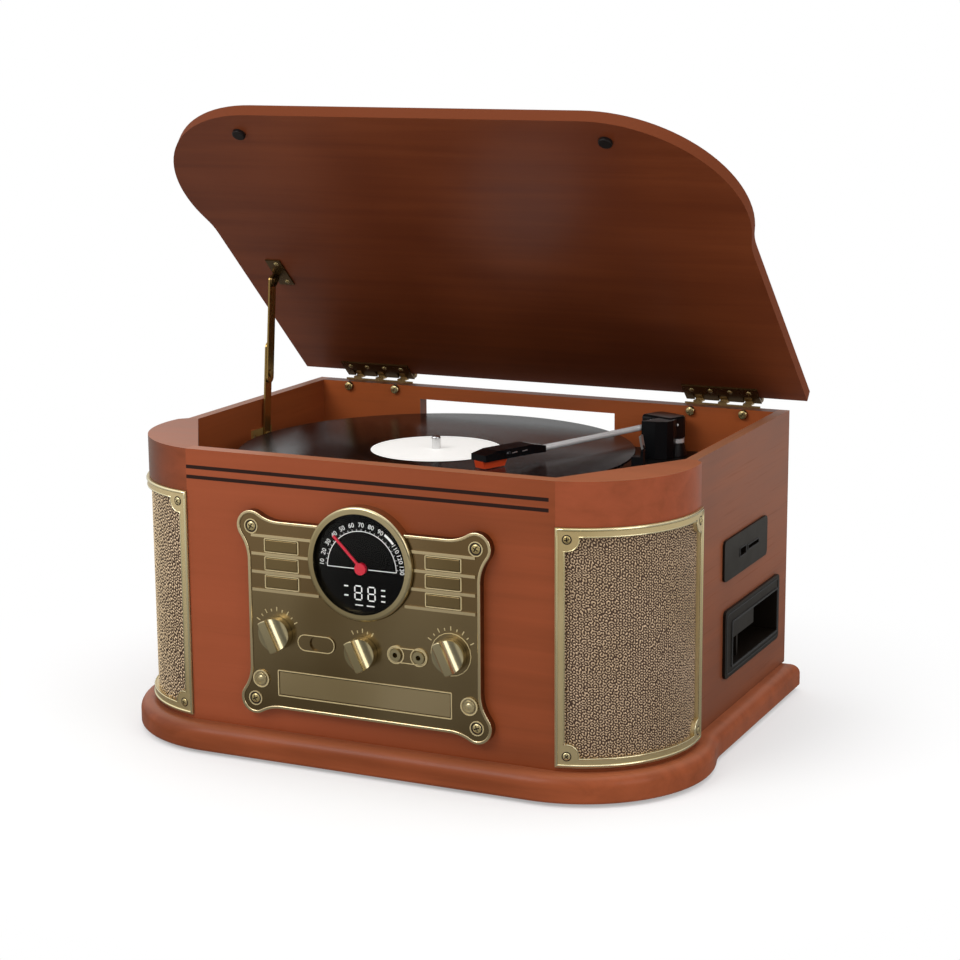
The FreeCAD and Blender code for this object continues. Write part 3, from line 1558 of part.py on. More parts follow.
def stay_lower_arm():
    solid = bar(stay_low, knee_point(), stay_lower_tail, stay_wall_x, stay_thickness)
    hole = rod(Vector(stay_wall_x - overrun, stay_low.y, stay_low.z), X,
               stay_rivet_radius + running_gap, stay_thickness + 2 * overrun)
    return solid.cut(hole)


def stay_upper_x():
    return stay_wall_x + stay_thickness + stay_gap


def stay_upper_arm():
    high = stay_high()
    knee = knee_point()
    x0 = stay_upper_x()
    solid = bar(high, knee, stay_upper_tail, x0, stay_thickness)
    head = rod(Vector(x0 + stay_thickness, knee.y, knee.z), X, stay_head_radius, stay_head_depth)
    hole = rod(Vector(x0 - overrun, high.y, high.z), X, stay_rivet_radius + running_gap,
               stay_thickness + 2 * overrun)
    return solid.fuse(head).cut(hole)


def stay_lid_bracket():
    """Plate under the lid with a tab and rivet for the upper arm, drawn closed and then opened."""
    pivot = stay_closed_pivot()
    tab_x = stay_upper_x() + stay_thickness + stay_gap
    thick = stay_bracket_thickness
    top = lid_under_z
    plate = block(tab_x, tab_x + stay_bracket_width, pivot.y - stay_bracket_length * 2 / 3,
                  pivot.y + stay_bracket_length / 3, top - thick, top)
    tab = block(tab_x, tab_x + thick, pivot.y - stay_half_width, pivot.y + stay_half_width, pivot.z, top)
    eye = rod(Vector(tab_x, pivot.y, pivot.z), X, stay_half_width, thick)
    rivet = rod(Vector(stay_upper_x(), pivot.y, pivot.z), X, stay_rivet_radius, tab_x - stay_upper_x())
    head = rod(Vector(tab_x + thick, pivot.y, pivot.z), X, stay_head_radius, stay_head_depth)
    return opened(plate.fuse(tab).fuse(eye).fuse(rivet).fuse(head))


def stay_wall_bracket():
    wall_x = -side_inner_x
    thick = stay_wall_gap - stay_gap
    plate = block(wall_x, wall_x + thick, stay_pivot_y - stay_wall_plate_length * 2 / 3,
                  stay_pivot_y + stay_wall_plate_length / 3, deck_z + fit_gap, deck_z + stay_wall_plate_height)
    rivet = rod(Vector(wall_x, stay_low.y, stay_low.z), X, stay_rivet_radius,
                stay_wall_gap + stay_thickness)
    head = rod(Vector(stay_wall_x + stay_thickness + stay_gap / 2, stay_low.y, stay_low.z), X,
               stay_head_radius, stay_head_depth)
    neck = rod(Vector(stay_wall_x, stay_low.y, stay_low.z), X, stay_rivet_radius,
               stay_thickness + stay_gap)
    return plate.fuse(rivet).fuse(neck).fuse(head)


def build():
    os.makedirs("parts", exist_ok=True)
    pieces = {
        "base_plinth": base_plinth,
        "rubber_feet": rubber_feet,
        "front_panel": front_panel,
        "left_side_panel": left_side_panel,
        "right_side_panel": right_side_panel,
        "back_panel": back_panel,
        "corner_blocks": corner_blocks,
        "grille_panels": grille_panels,
        "front_screws": front_screws,
        "deck_plate": deck_plate,
        "drive_motor": drive_motor,
        "motor_pulley": motor_pulley,
        "drive_belt": drive_belt,
        "platter": platter,
        "platter_mat": platter_mat,
        "record_disc": record_disc,
        "speed_switch": speed_switch,
        "arm_turret": arm_turret,
        "arm_tube": arm_tube,
        "headshell": headshell,
        "stylus_guard": stylus_guard,
        "arm_rest": arm_rest,
        "arm_clip": arm_clip,
        "control_plate": control_plate,
        "dial_bezel": dial_bezel,
        "dial_face": dial_face,
        "dial_pointer": dial_pointer,
        "control_pots": control_pots,
        "main_board": main_board,
        "audio_jacks": audio_jacks,
        "cd_drawer": cd_drawer,
        "cd_mechanism": cd_mechanism,
        "usb_panel": usb_panel,
        "cassette_bezel": cassette_bezel,
        "cassette_mechanism": cassette_mechanism,
        "tape_flap": tape_flap,
        "rear_connector_plate": rear_connector_plate,
        "wall_hinges": hinge_wall_leaves,
        "lid_hinges": hinge_lid_leaves,
        "hinge_bolts": hinge_bolts,
        "lid_board": lid_board,
        "lid_bumpers": lid_bumpers,
        "stay_lower_arm": stay_lower_arm,
        "stay_upper_arm": stay_upper_arm,
        "stay_lid_bracket": stay_lid_bracket,
        "stay_wall_bracket": stay_wall_bracket,
    }
    for name, make in pieces.items():
        save(name, make())
    save("speaker_baffles", Part.makeCompound(both_sides(speaker_baffle())))
    save("speaker_drivers", Part.makeCompound(both_sides(speaker_driver())))
    save("grille_frames", Part.makeCompound(both_sides(grille_frame())))
    names = ("function_knob", "tuning_knob", "volume_knob")
    radii = (knob_radius, tuning_knob_radius, knob_radius)
    for name, (px, pz), radius in zip(names, knob_places(), radii):
        save(name, knob(px, pz, radius))
    for word, row, kx, kz in key_places():
        save("%s_button_%d" % (word, row), key(kx, kz))
    save("power_button", round_key(-round_key_x))
    save("eject_button", round_key(round_key_x))


build()
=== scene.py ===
import json
import math

import bmesh
import bpy
from mathutils import Matrix, Vector


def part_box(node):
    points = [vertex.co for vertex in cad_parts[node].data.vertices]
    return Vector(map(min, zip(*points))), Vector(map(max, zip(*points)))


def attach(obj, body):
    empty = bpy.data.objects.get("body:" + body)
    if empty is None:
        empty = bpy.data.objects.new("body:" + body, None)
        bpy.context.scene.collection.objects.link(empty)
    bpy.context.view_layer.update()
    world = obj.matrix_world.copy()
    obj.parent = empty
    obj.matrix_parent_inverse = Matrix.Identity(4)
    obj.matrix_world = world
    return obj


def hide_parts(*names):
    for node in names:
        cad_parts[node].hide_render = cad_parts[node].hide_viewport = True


bl_info = {
    "name": "Record player looks",
    "version": (1, 0, 0),
    "blender": (4, 5, 0),
    "location": "View3D > Sidebar > Record player",
    "description": "Finishes, prints, grilles and stage for a wooden record player",
    "category": "Object",
}

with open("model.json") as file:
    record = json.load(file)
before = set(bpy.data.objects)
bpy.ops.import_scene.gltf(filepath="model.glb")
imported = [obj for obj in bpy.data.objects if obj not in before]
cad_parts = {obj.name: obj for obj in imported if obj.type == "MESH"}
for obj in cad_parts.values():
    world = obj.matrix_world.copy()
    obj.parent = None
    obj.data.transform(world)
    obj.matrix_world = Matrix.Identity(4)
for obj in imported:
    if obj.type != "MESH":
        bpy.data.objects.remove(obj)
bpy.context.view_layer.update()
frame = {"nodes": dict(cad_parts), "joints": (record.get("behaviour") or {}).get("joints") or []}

MM = 0.001
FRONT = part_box("front_panel")[0].y
BASE_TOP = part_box("base_plinth")[1].z
INNER_X = 198.0 * MM
PLATE_FACE = FRONT - 5.5 * MM
PLATE_RIM = FRONT - 5.75 * MM
GRILLE_X = 129.5 * MM
GRILLE_Y = FRONT + 82.739 * MM
WAVES = 7

# Places on the control plate, in the millimetres that at() takes
PLATE_SCREWS = [(x, z) for x in (-87.9, 87.9) for z in (24.4, 151.4)]
FITTINGS_UP = 70.1
SIDE_KNOB_X = 68.6
SIDE_KNOB_UP = 75.0

JOINTS = {joint["name"]: joint for joint in frame["joints"]}
LID_PIN = Vector(JOINTS["lid_hinge"]["pos_m"])
LID_OPEN = math.radians(JOINTS["lid_hinge"]["range_deg"][1])


def at(x, y, z):
    """A point from millimetres: right of the middle, behind the front, above the plinth."""
    return Vector((x * MM, FRONT + y * MM, BASE_TOP + z * MM))


def rgb(code):
    """A hex colour as linear values with full alpha."""
    parts = [int(code[i : i + 2], 16) / 255 for i in (0, 2, 4)]
    linear = [c / 12.92 if c <= 0.04045 else ((c + 0.055) / 1.055) ** 2.4 for c in parts]
    return (*linear, 1.0)


def opaque(colour, share=1.0):
    """A colour darkened to a share of itself, with full alpha."""
    return (*(c * share for c in colour[:3]), 1.0)


def on_open_lid(point):
    """Where a point of the closed lid lies with the lid open."""
    return LID_PIN + Matrix.Rotation(-LID_OPEN, 4, "X") @ (point - LID_PIN)


# Node graphs


class Link:
    """A node's output. Arithmetic on it adds Math nodes."""

    def __init__(self, graph, socket):
        self.graph = graph
        self.socket = socket

    def __add__(self, other):
        return self.graph.math("ADD", self, other)

    __radd__ = __add__

    def __sub__(self, other):
        return self.graph.math("SUBTRACT", self, other)

    def __rsub__(self, other):
        return self.graph.math("SUBTRACT", other, self)

    def __mul__(self, other):
        return self.graph.math("MULTIPLY", self, other)

    __rmul__ = __mul__

    def __truediv__(self, other):
        return self.graph.math("DIVIDE", self, other)

    def __abs__(self):
        return self.graph.math("ABSOLUTE", self)


class Graph:
    """Adds nodes to a tree."""

    def __init__(self, tree):
        self.tree = tree

    def feed(self, socket, value):
        if isinstance(value, Link):
            self.tree.links.new(value.socket, socket)
        else:
            socket.default_value = value

    def node(self, kind, settings=None, inputs=None, output=0):
        """Adds a node, sets it up, feeds its sockets and returns one output."""
        node = self.tree.nodes.new(kind)
        for key, value in (settings or {}).items():
            setattr(node, key, value)
        for key, value in (inputs or {}).items():
            self.feed(node.inputs[key], value)
        return Link(self, node.outputs[output])

    def outputs(self, link):
        return [Link(self, socket) for socket in link.socket.node.outputs]

    def math(self, operation, *values):
        return self.node("ShaderNodeMath", {"operation": operation}, dict(enumerate(values)))

    def smooth(self, value, low, high):
        """0 below low, 1 above high and a smooth step between."""
        settings = {"interpolation_type": "SMOOTHSTEP"}
        return self.node("ShaderNodeMapRange", settings, {0: value, 1: low, 2: high})

    def past(self, value, edge, blur):
        """0 before an edge and 1 past it, blurred to both sides."""
        return self.smooth(value, edge - blur, edge + blur)

    def noise(self, vector, scale, detail=2.0, roughness=0.5, distortion=0.0):
        inputs = {"Vector": vector, "Scale": scale, "Detail": detail}
        inputs.update({"Roughness": roughness, "Distortion": distortion})
        return self.node("ShaderNodeTexNoise", None, inputs)

    def stretch(self, vector, scale, shift):
        inputs = {"Vector": vector, "Scale": scale, "Location": shift}
        return self.node("ShaderNodeMapping", None, inputs)

    def split(self, vector):
        first = self.node("ShaderNodeSeparateXYZ", None, {0: vector})
        return self.outputs(first)

    def join(self, x, y, z):
        return self.node("ShaderNodeCombineXYZ", None, {0: x, 1: y, 2: z})

    def mix(self, factor, a, b):
        return self.node("ShaderNodeMix", {"data_type": "RGBA"}, {0: factor, 6: a, 7: b}, 2)


class Paint(Graph):
    """A procedural material built on one Principled shader."""

    def __init__(self, name):
        self.material = bpy.data.materials.new(name)
        self.material.use_nodes = True
        super().__init__(self.material.node_tree)
        self.tree.nodes.clear()
        self.shader = self.tree.nodes.new("ShaderNodeBsdfPrincipled")
        self.surface = self.tree.nodes.new("ShaderNodeOutputMaterial")
        self.tree.links.new(self.shader.outputs[0], self.surface.inputs[0])

    def coords(self, kind="Object"):
        return self.node("ShaderNodeTexCoord", None, None, kind)

    def upward(self, low, high):
        """1 on faces that look up."""
        return self.smooth(self.split(self.coords("Normal"))[2], low, high)

    def bump(self, height, distance, strength):
        inputs = {"Height": height, "Distance": distance, "Strength": strength}
        return self.node("ShaderNodeBump", None, inputs)

    def mix_shaders(self, factor, a, b):
        return self.node("ShaderNodeMixShader", None, {0: factor, 1: a, 2: b})

    def done(self, **inputs):
        for key, value in inputs.items():
            self.feed(self.shader.inputs[key.replace("_", " ")], value)
        return self.material


# Finishes


def plain(name, colour, roughness, metallic=0.0, coat=0.0, wear=0.06, mirror=0.3):
    """A finish of one colour with a little unevenness in its gloss."""
    p = Paint(name)
    mottle = p.noise(p.coords(), 60.0, 3.0)
    return p.done(
        Base_Color=p.mix(mottle * 0.3, colour, opaque(colour, 0.75)),
        Roughness=mottle * wear * 2 + (roughness - wear),
        Metallic=metallic,
        Coat_Weight=coat,
        Specular_IOR_Level=0.5 if metallic or coat else mirror,
    )


def shading_reach(p, place, kind):
    """What a band of painted light or shade runs along: x, y, x on upright faces only, or the
    distance from the middle.
    """
    x, y = p.split(place)[:2]
    if kind == "upright":
        return x + p.upward(0.5, 0.8)
    if kind == "mirrored":
        return abs(x)
    return {"x": x, "y": y}[kind]


def stripe_mask(p, place):
    """1 on the two dark lines along the top of the front's face."""
    x, y, z = p.split(place)
    height, blur = 2.7, 0.2 * MM
    bands = []
    for low in (180.2, 187.5):
        bottom, top = at(0, 0, low).z, at(0, 0, low + height).z
        bands.append(p.past(z, bottom, blur) * (1 - p.past(z, top, blur)))
    within = (bands[0] + bands[1]) * (1 - p.smooth(x, 139.0 * MM, 139.6 * MM))
    return within * (1 - p.smooth(y, FRONT + 1.5 * MM, FRONT + 2.5 * MM))


def stained_wood(
    name, light, dark, along, seed, stripes=False, edge=None, painted_shading=None, painted_top_light=0.0, coat=0.06
):
    """Stained veneer with its grain along one axis and a satin lacquer.

    An edge is the normal of the broad faces and the colour of the others. A shading band is
    painted light or shade, given by where it starts and ends, its colour and what it runs along.
    Faces that look up get a painted sheen of the light from above, paler by its given share.
    """
    p = Paint(name)
    place = p.coords()
    coarse_scale, fine_scale = [80.0] * 3, [620.0] * 3
    coarse_scale[along], fine_scale[along] = 4.0, 11.0
    grain = p.noise(p.stretch(place, coarse_scale, (seed, seed, seed)), 1.0, 4.0, 0.6, 0.4)
    fine = p.noise(p.stretch(place, fine_scale, (seed, 0.0, seed)), 1.0, 2.0, 0.6)
    broad = p.noise(p.stretch(place, (1.0, 1.0, 1.0), (seed, 0.3, 0.1)), 6.0)
    tone = p.smooth(grain * 0.4 + broad * 0.6, 0.3, 0.7)
    pores = p.smooth(fine, 0.58, 0.78)
    colour = p.mix(tone, dark, light)
    gloss = pores * 0.1 + tone * 0.05 + 0.36
    # A band of painted light or shade over the grain.
    if painted_shading:
        low, high, inner, kind = painted_shading
        reach = shading_reach(p, place, kind)
        colour = p.mix(p.smooth(reach, low, high), p.mix(tone * 0.4, inner, dark), colour)
    # Painted sheen: faces that look up are painted paler, as if lit from above.
    if painted_top_light:
        colour = p.mix(p.upward(0.6, 0.9) * painted_top_light, colour, rgb("c48a68"))
    colour = p.mix(pores * 0.08, colour, opaque(dark, 0.5))
    height = fine * -1.0
    if edge:
        inputs = {0: p.coords("Normal"), 1: edge[0]}
        facing = p.node("ShaderNodeVectorMath", {"operation": "DOT_PRODUCT"}, inputs, 1)
        rim = 1 - p.smooth(abs(facing), 0.2, 0.5)
        colour = p.mix(rim, colour, edge[1])
        gloss = rim * 0.5 + gloss
    if stripes:
        lines = stripe_mask(p, place)
        colour = p.mix(lines * 0.96, colour, rgb("150806"))
        height = height - lines * 3
    return p.done(
        Base_Color=colour,
        Roughness=gloss,
        Specular_IOR_Level=0.16,
        Coat_Weight=coat,
        Coat_Roughness=0.1,
        Normal=p.bump(height, 0.06 * MM, 0.3),
    )


def brushed_brass(
    name, bright, dark, roughness, proud=None, band=None, metallic=1.0, behind=None
):
    """Antique brass.

    Rims that stand proud of a depth are polished, what lies above a band's height takes on
    its colour, and what lies behind a depth is black plastic.
    """
    p = Paint(name)
    place = p.coords()
    smudge = p.noise(place, 9.0)
    speck = p.noise(place, 380.0)
    colour = p.mix(p.smooth(smudge, 0.35, 0.65) * (0.2 if proud else 0.6), dark, bright)
    gloss = smudge * 0.1 + speck * 0.05 + (roughness - 0.08)
    x, y, z = p.split(place)
    if band:
        colour = p.mix(p.past(z, band[0], 0.4 * MM) * 0.5, colour, band[1])
    if proud:
        row = at(0, 0, FITTINGS_UP + 0.2).z
        worn = 1 - p.smooth(y, proud - 0.25 * MM, proud + 0.05 * MM)
        off_row = p.smooth(abs(z - row), 7.5 * MM, 8.5 * MM)
        outer = p.smooth(abs(x), 60 * MM, 62 * MM)
        colour = p.mix(worn * p.math("MAXIMUM", off_row, outer), colour, bright)
    if behind:
        plastic = p.smooth(y, behind, behind + 0.2 * MM)
        colour = p.mix(plastic, colour, rgb("161413"))
        gloss = plastic * 0.15 + gloss
        metallic = (1 - plastic) * metallic
    return p.done(Base_Color=colour, Metallic=metallic, Roughness=gloss)


def spindle_distance(p):
    """How far a place is from the record's axis."""
    low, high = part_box("record_disc")
    x, y = p.split(p.stretch(p.coords(), (1.0, 1.0, 1.0), -(low + high) / 2))[:2]
    return p.math("SQRT", x * x + y * y)


def record_vinyl():
    """Black grooves with bands of different shine and a bare white label, which glows a little as
    painted light.
    """
    p = Paint("record")
    radius = spindle_distance(p)
    groove = p.math("SINE", radius * (2 * math.pi / (0.9 * MM)))
    tracks = p.noise(p.join(radius * 180.0, 0.0, 0.0), 1.0, 1.0)
    label = 1 - p.past(radius, 49.8 * MM, 0.1 * MM)
    ring = p.past(radius, 45.6 * MM, 0.1 * MM) * (1 - p.past(radius, 46.2 * MM, 0.1 * MM))
    paper = p.mix(ring * 0.35, rgb("f2f1ee"), rgb("4a4a4a"))
    black = p.mix(p.smooth(tracks, 0.4, 0.62), rgb("060506"), rgb("0e0c0d"))
    return p.done(
        Base_Color=p.mix(label, black, paper),
        Roughness=label * 0.3 + tracks * 0.08 + 0.14,
        # The label's glow is painted light that makes it brighter than the lamps make it.
        Emission_Color=p.mix(label, rgb("000000"), rgb("aeaeab")),
        Emission_Strength=1.0,
        Specular_IOR_Level=0.3,
        Normal=p.bump(groove * (1 - label), 0.06 * MM, 0.18),
    )


def platter_finish():
    """Black plastic, with the spindle in the middle plated."""
    p = Paint("platter")
    post = 1 - p.smooth(spindle_distance(p), 4.5 * MM, 5 * MM)
    return p.done(
        Base_Color=p.mix(post, rgb("1a1a1a"), rgb("d9d9d9")),
        Metallic=post * 0.95,
        Roughness=0.4 - post * 0.2,
    )


def ridges(graph, plane):
    """Labyrinth of worm-like ridges one unit apart, 0 between them and 1 along their tops."""
    x, y = graph.split(plane)[:2]
    drift = graph.noise(plane, 0.25, 1.0) * 8.0
    total = None
    for k in range(WAVES):
        heading = math.pi * (k + 0.25 * (k * k % 3)) / WAVES
        pace = 2 * math.pi * (1 + 0.05 * (k * 4 % 5 - 2))
        phase = (x * math.cos(heading) + y * math.sin(heading)) * pace
        wave = graph.math("SINE", phase + drift * (0.4 + 0.35 * k) + 1.9 * k * k)
        total = wave if total is None else total + wave
    return graph.smooth(total, -0.1, 1.7)


def grille_finish(settings):
    """Bronze relief, dark between the raised worms and pale on their tops, partly the bronze's own
    two tones and partly painted shade and highlight, and painted lighter on the left as painted
    light.
    """
    p = Paint("grille_bronze")
    plane = p.node("ShaderNodeAttribute", {"attribute_name": "plane"}, None, "Vector")
    height = ridges(p, plane)
    drift = p.noise(p.coords(), 16.0)
    raised = p.mix(drift, opaque(settings.raised), rgb("c2a67c"))
    # Painted light: the left sheet is painted lighter, a painted reflection of the light from the
    # left.
    lit = 1 - p.smooth(p.split(p.coords())[0], -220 * MM, -120 * MM)
    raised = p.mix(lit, raised, rgb("ffe3b6"))
    recess = p.mix(lit, opaque(settings.recess), rgb("402c1c"))
    # Dark between the worms and pale on their tops: partly the bronze's tones, partly painted
    # shade and highlight.
    colour = p.mix(height, recess, raised)
    relief = p.bump(height, settings.relief, 0.35)
    gloss = 0.46 - height * 0.12
    return p.done(Base_Color=colour, Metallic=0.5, Roughness=gloss, Normal=relief)


def lens_finish():
    """Clear cover that only mirrors at its surface."""
    p = Paint("dial_lens")
    through = p.node("ShaderNodeBsdfTransparent")
    rim = p.node("ShaderNodeFresnel", None, {"IOR": 1.45})
    p.done(Base_Color=rgb("ffffff"), Roughness=0.04, Metallic=1.0)
    mixed = p.mix_shaders(rim * 0.15, through, Link(p, p.shader.outputs[0]))
    p.feed(p.surface.inputs[0], mixed)
    return p.material


def dress(material, *names):
    """Gives CAD nodes a finish."""
    for name in names:
        node = frame["nodes"][name]
        node.data.materials.clear()
        node.data.materials.append(material)


# Meshes


def new_object(name, data):
    obj = bpy.data.objects.new(name, data)
    bpy.context.scene.collection.objects.link(obj)
    return obj


def evaluated_mesh(holder):
    """The shape that an object ends up with, as a plain mesh. The object is removed."""
    graph = bpy.context.evaluated_depsgraph_get()
    mesh = bpy.data.meshes.new_from_object(holder.evaluated_get(graph))
    bpy.data.objects.remove(holder)
    return mesh


def put(name, mesh, body, material):
    """Adds a finished mesh that moves with a body."""
    mesh.materials.clear()
    mesh.materials.append(material)
    obj = new_object(name, mesh)
    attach(obj, body)
    return obj


def add(name, build, body, material, smooth_angle=None):
    """Adds a piece from a function that fills a bmesh."""
    bm = bmesh.new()
    build(bm)
    bmesh.ops.remove_doubles(bm, verts=bm.verts, dist=1e-7)
    bmesh.ops.recalc_face_normals(bm, faces=bm.faces)
    mesh = bpy.data.meshes.new(name)
    bm.to_mesh(mesh)
    bm.free()
    if smooth_angle:
        mesh.shade_smooth()
        mesh.set_sharp_from_angle(angle=math.radians(smooth_angle))
    return put(name, mesh, body, material)


def skin(bm, rings):
    """Faces between each ring of vertices and the next. One vertex alone closes a pole."""
    for near, far in zip(rings, rings[1:]):
        count = max(len(near), len(far))
        for i in range(count):
            j = (i + 1) % count
            corners = (near[i % len(near)], near[j % len(near)])
            corners += (far[j % len(far)], far[i % len(far)])
            bm.faces.new(list(dict.fromkeys(corners)))


def slab(bm, points, y0, y1):
    """A plate between two depths from points (x, z)."""
    front, back = ([bm.verts.new((x, y, z)) for x, z in points] for y in (y0, y1))
    bm.faces.new(front)
    bm.faces.new(back[::-1])
    skin(bm, [front, back])


def radial_mark(bm, centre, angle, start, end, half_width, y0, y1):
    """A short bar that points away from a centre, between two distances from it."""
    out = Vector((math.cos(angle), 0, math.sin(angle)))
    side = Vector((-math.sin(angle), 0, math.cos(angle))) * half_width
    near, far = centre + out * start, centre + out * end
    corners = (near - side, far - side, far + side, near + side)
    slab(bm, [(q.x, q.z) for q in corners], y0, y1)


def arc_points(across, up, radius, start, end, steps):
    """Points along an arc between two angles in degrees."""
    points = []
    for k in range(steps + 1):
        a = math.radians(start + (end - start) * k / steps)
        points.append((across + radius * math.cos(a), up + radius * math.sin(a)))
    return points


def raised_frame(bm, centre, half_across, half_up, radius, width, base, top, sideways=False):
    """A flat rounded frame on the front, or sideways on the right side, between two depths."""
    across = centre.y if sideways else centre.x
    rings = []
    for grow, depth in ((width, base), (width, top), (-width, top), (-width, base)):
        corner = max(radius + grow / 2, 0.05) * MM
        run, rise = (half_across + grow / 2) * MM - corner, (half_up + grow / 2) * MM - corner
        points = []
        for sx, sz, start in ((1, 1, 0), (-1, 1, 90), (-1, -1, 180), (1, -1, 270)):
            middle = (across + sx * run, centre.z + sz * rise)
            points += arc_points(*middle, corner, start, start + 90, 5)
        places = [(depth, a, z) if sideways else (a, depth, z) for a, z in points]
        rings.append([bm.verts.new(place) for place in places])
    skin(bm, rings + rings[:1])


def turned_ring(bm, centre, profile, steps):
    """Turns points (radius, depth) about an axis along Y. A radius of zero closes the pole."""
    rings = []
    for radius, depth in profile:
        points = arc_points(centre.x, centre.z, radius, 0, 360, steps)[: steps if radius else 1]
        rings.append([bm.verts.new((x, centre.y + depth, z)) for x, z in points])
    skin(bm, rings)


def tube(bm, points, radius, sides):
    """A round bar through points, closed at both ends."""
    rings = []
    for i, point in enumerate(points):
        before = points[max(i - 1, 0)]
        after = points[min(i + 1, len(points) - 1)]
        run = (after - before).normalized()
        side = run.orthogonal() if i == 0 else side - run * side.dot(run)
        side.normalize()
        other = run.cross(side)
        ring = []
        for k in range(sides):
            a = 2 * math.pi * k / sides
            ring.append(bm.verts.new(point + radius * (side * math.cos(a) + other * math.sin(a))))
        rings.append(ring)
    skin(bm, rings)
    bm.faces.new(rings[0][::-1])
    bm.faces.new(rings[-1])


def words(text, size, place, thick, roll):
    """A mesh of plain figures that face the front, centred on a place."""
    curve = bpy.data.curves.new(text, "FONT")
    curve.body = text
    curve.size = size
    curve.extrude = thick / 2
    curve.align_x = "CENTER"
    curve.align_y = "CENTER"
    curve.resolution_u = 3
    mesh = evaluated_mesh(new_object(text, curve))
    bpy.data.curves.remove(curve)
    turn = Matrix.Rotation(math.pi / 2, 4, "X") @ Matrix.Rotation(roll, 4, "Z")
    mesh.transform(Matrix.Translation(place) @ turn)
    return mesh


# Geometry Nodes


def grown(name, tree, inputs, seeds=None):
    """Runs a Geometry Nodes tree and returns its result as a plain mesh."""
    holder = new_object(name + "_holder", seeds or bpy.data.meshes.new(name + "_seeds"))
    modifier = holder.modifiers.new("grow", "NODES")
    modifier.node_group = tree
    for item in tree.interface.items_tree:
        if item.item_type == "SOCKET" and item.in_out == "INPUT" and item.name in inputs:
            modifier[item.identifier] = inputs[item.name]
    mesh = evaluated_mesh(holder)
    if not mesh.vertices:
        raise RuntimeError(name + " came out empty")
    return mesh


class Growth(Graph):
    """A Geometry Nodes tree with named inputs."""

    def __init__(self, name, floats, ints=(), flags=()):
        tree = bpy.data.node_groups.new(name, "GeometryNodeTree")
        super().__init__(tree)
        geometry = {"name": "Geometry", "socket_type": "NodeSocketGeometry"}
        tree.interface.new_socket(in_out="INPUT", **geometry)
        for kind, titles in (("Float", floats), ("Int", ints), ("Bool", flags)):
            for title in titles:
                tree.interface.new_socket(title, in_out="INPUT", socket_type="NodeSocket" + kind)
        tree.interface.new_socket(in_out="OUTPUT", **geometry)
        self.entry = tree.nodes.new("NodeGroupInput")

    def given(self, title):
        return Link(self, self.entry.outputs[title])

    def transform(self, geometry, **inputs):
        return self.node("GeometryNodeTransform", None, {"Geometry": geometry, **inputs})

    def attribute(self, kind, name):
        settings = {"data_type": kind}
        return self.node("GeometryNodeInputNamedAttribute", settings, {"Name": name})

    def on_points(self, shape, spun):
        """A copy of a shape on every point, turned to its axis and spun about it."""
        points = self.node("GeometryNodeMeshToPoints", None, {0: self.given("Geometry")})
        axis = self.attribute("FLOAT_VECTOR", "axis")
        turn = self.node("FunctionNodeAlignRotationToVector", {"axis": "Z"}, {"Vector": axis})
        if spun:
            inputs = {"Axis": (0.0, 0.0, 1.0), "Angle": self.attribute("FLOAT", "spin")}
            spin = self.node("FunctionNodeAxisAngleToRotation", None, inputs)
            settings = {"rotation_space": "LOCAL"}
            turn = self.node("FunctionNodeRotateRotation", settings, {0: turn, 1: spin})
        inputs = {"Points": points, "Instance": shape, "Rotation": turn}
        return self.node("GeometryNodeInstanceOnPoints", None, inputs)

    def finish(self, geometry, material):
        real = self.node("GeometryNodeRealizeInstances", None, {0: geometry})
        inputs = {"Geometry": real, "Material": material}
        dressed = self.node("GeometryNodeSetMaterial", None, inputs)
        way_out = self.tree.nodes.new("NodeGroupOutput")
        self.feed(way_out.inputs[0], dressed)
        return self.tree


def relief_tree(material):
    """A fine curved skin whose surface carries worm-like ridges."""
    places = ("Centre X", "Centre Y", "Radius", "Start Angle", "Arc", "Bottom", "Height")
    g = Growth("grille_relief", places + ("Relief", "Spacing"), ("Across", "Up"))
    arc, height, radius = g.given("Arc"), g.given("Height"), g.given("Radius")
    inputs = {"Size X": arc * radius, "Size Y": height}
    inputs.update({"Vertices X": g.given("Across"), "Vertices Y": g.given("Up")})
    sheet = g.node("GeometryNodeMeshGrid", None, inputs)
    x, y = g.split(g.node("GeometryNodeInputPosition"))[:2]
    spacing = g.given("Spacing")
    plane = g.join((x + g.given("Centre X") * 3) / spacing, y / spacing, 0.0)
    ridge = ridges(g, plane)
    stored = g.node(
        "GeometryNodeStoreNamedAttribute",
        {"data_type": "FLOAT_VECTOR", "domain": "POINT"},
        {"Geometry": sheet, "Name": "plane", "Value": plane},
    )
    angle = g.given("Start Angle") + (x / radius + arc * 0.5)
    reach = radius + ridge * g.given("Relief")
    spot = g.join(
        g.given("Centre X") + reach * g.math("COSINE", angle),
        g.given("Centre Y") + reach * g.math("SINE", angle),
        y + height * 0.5 + g.given("Bottom"),
    )
    bent = g.node("GeometryNodeSetPosition", None, {"Geometry": stored, "Position": spot})
    return g.finish(bent, material)


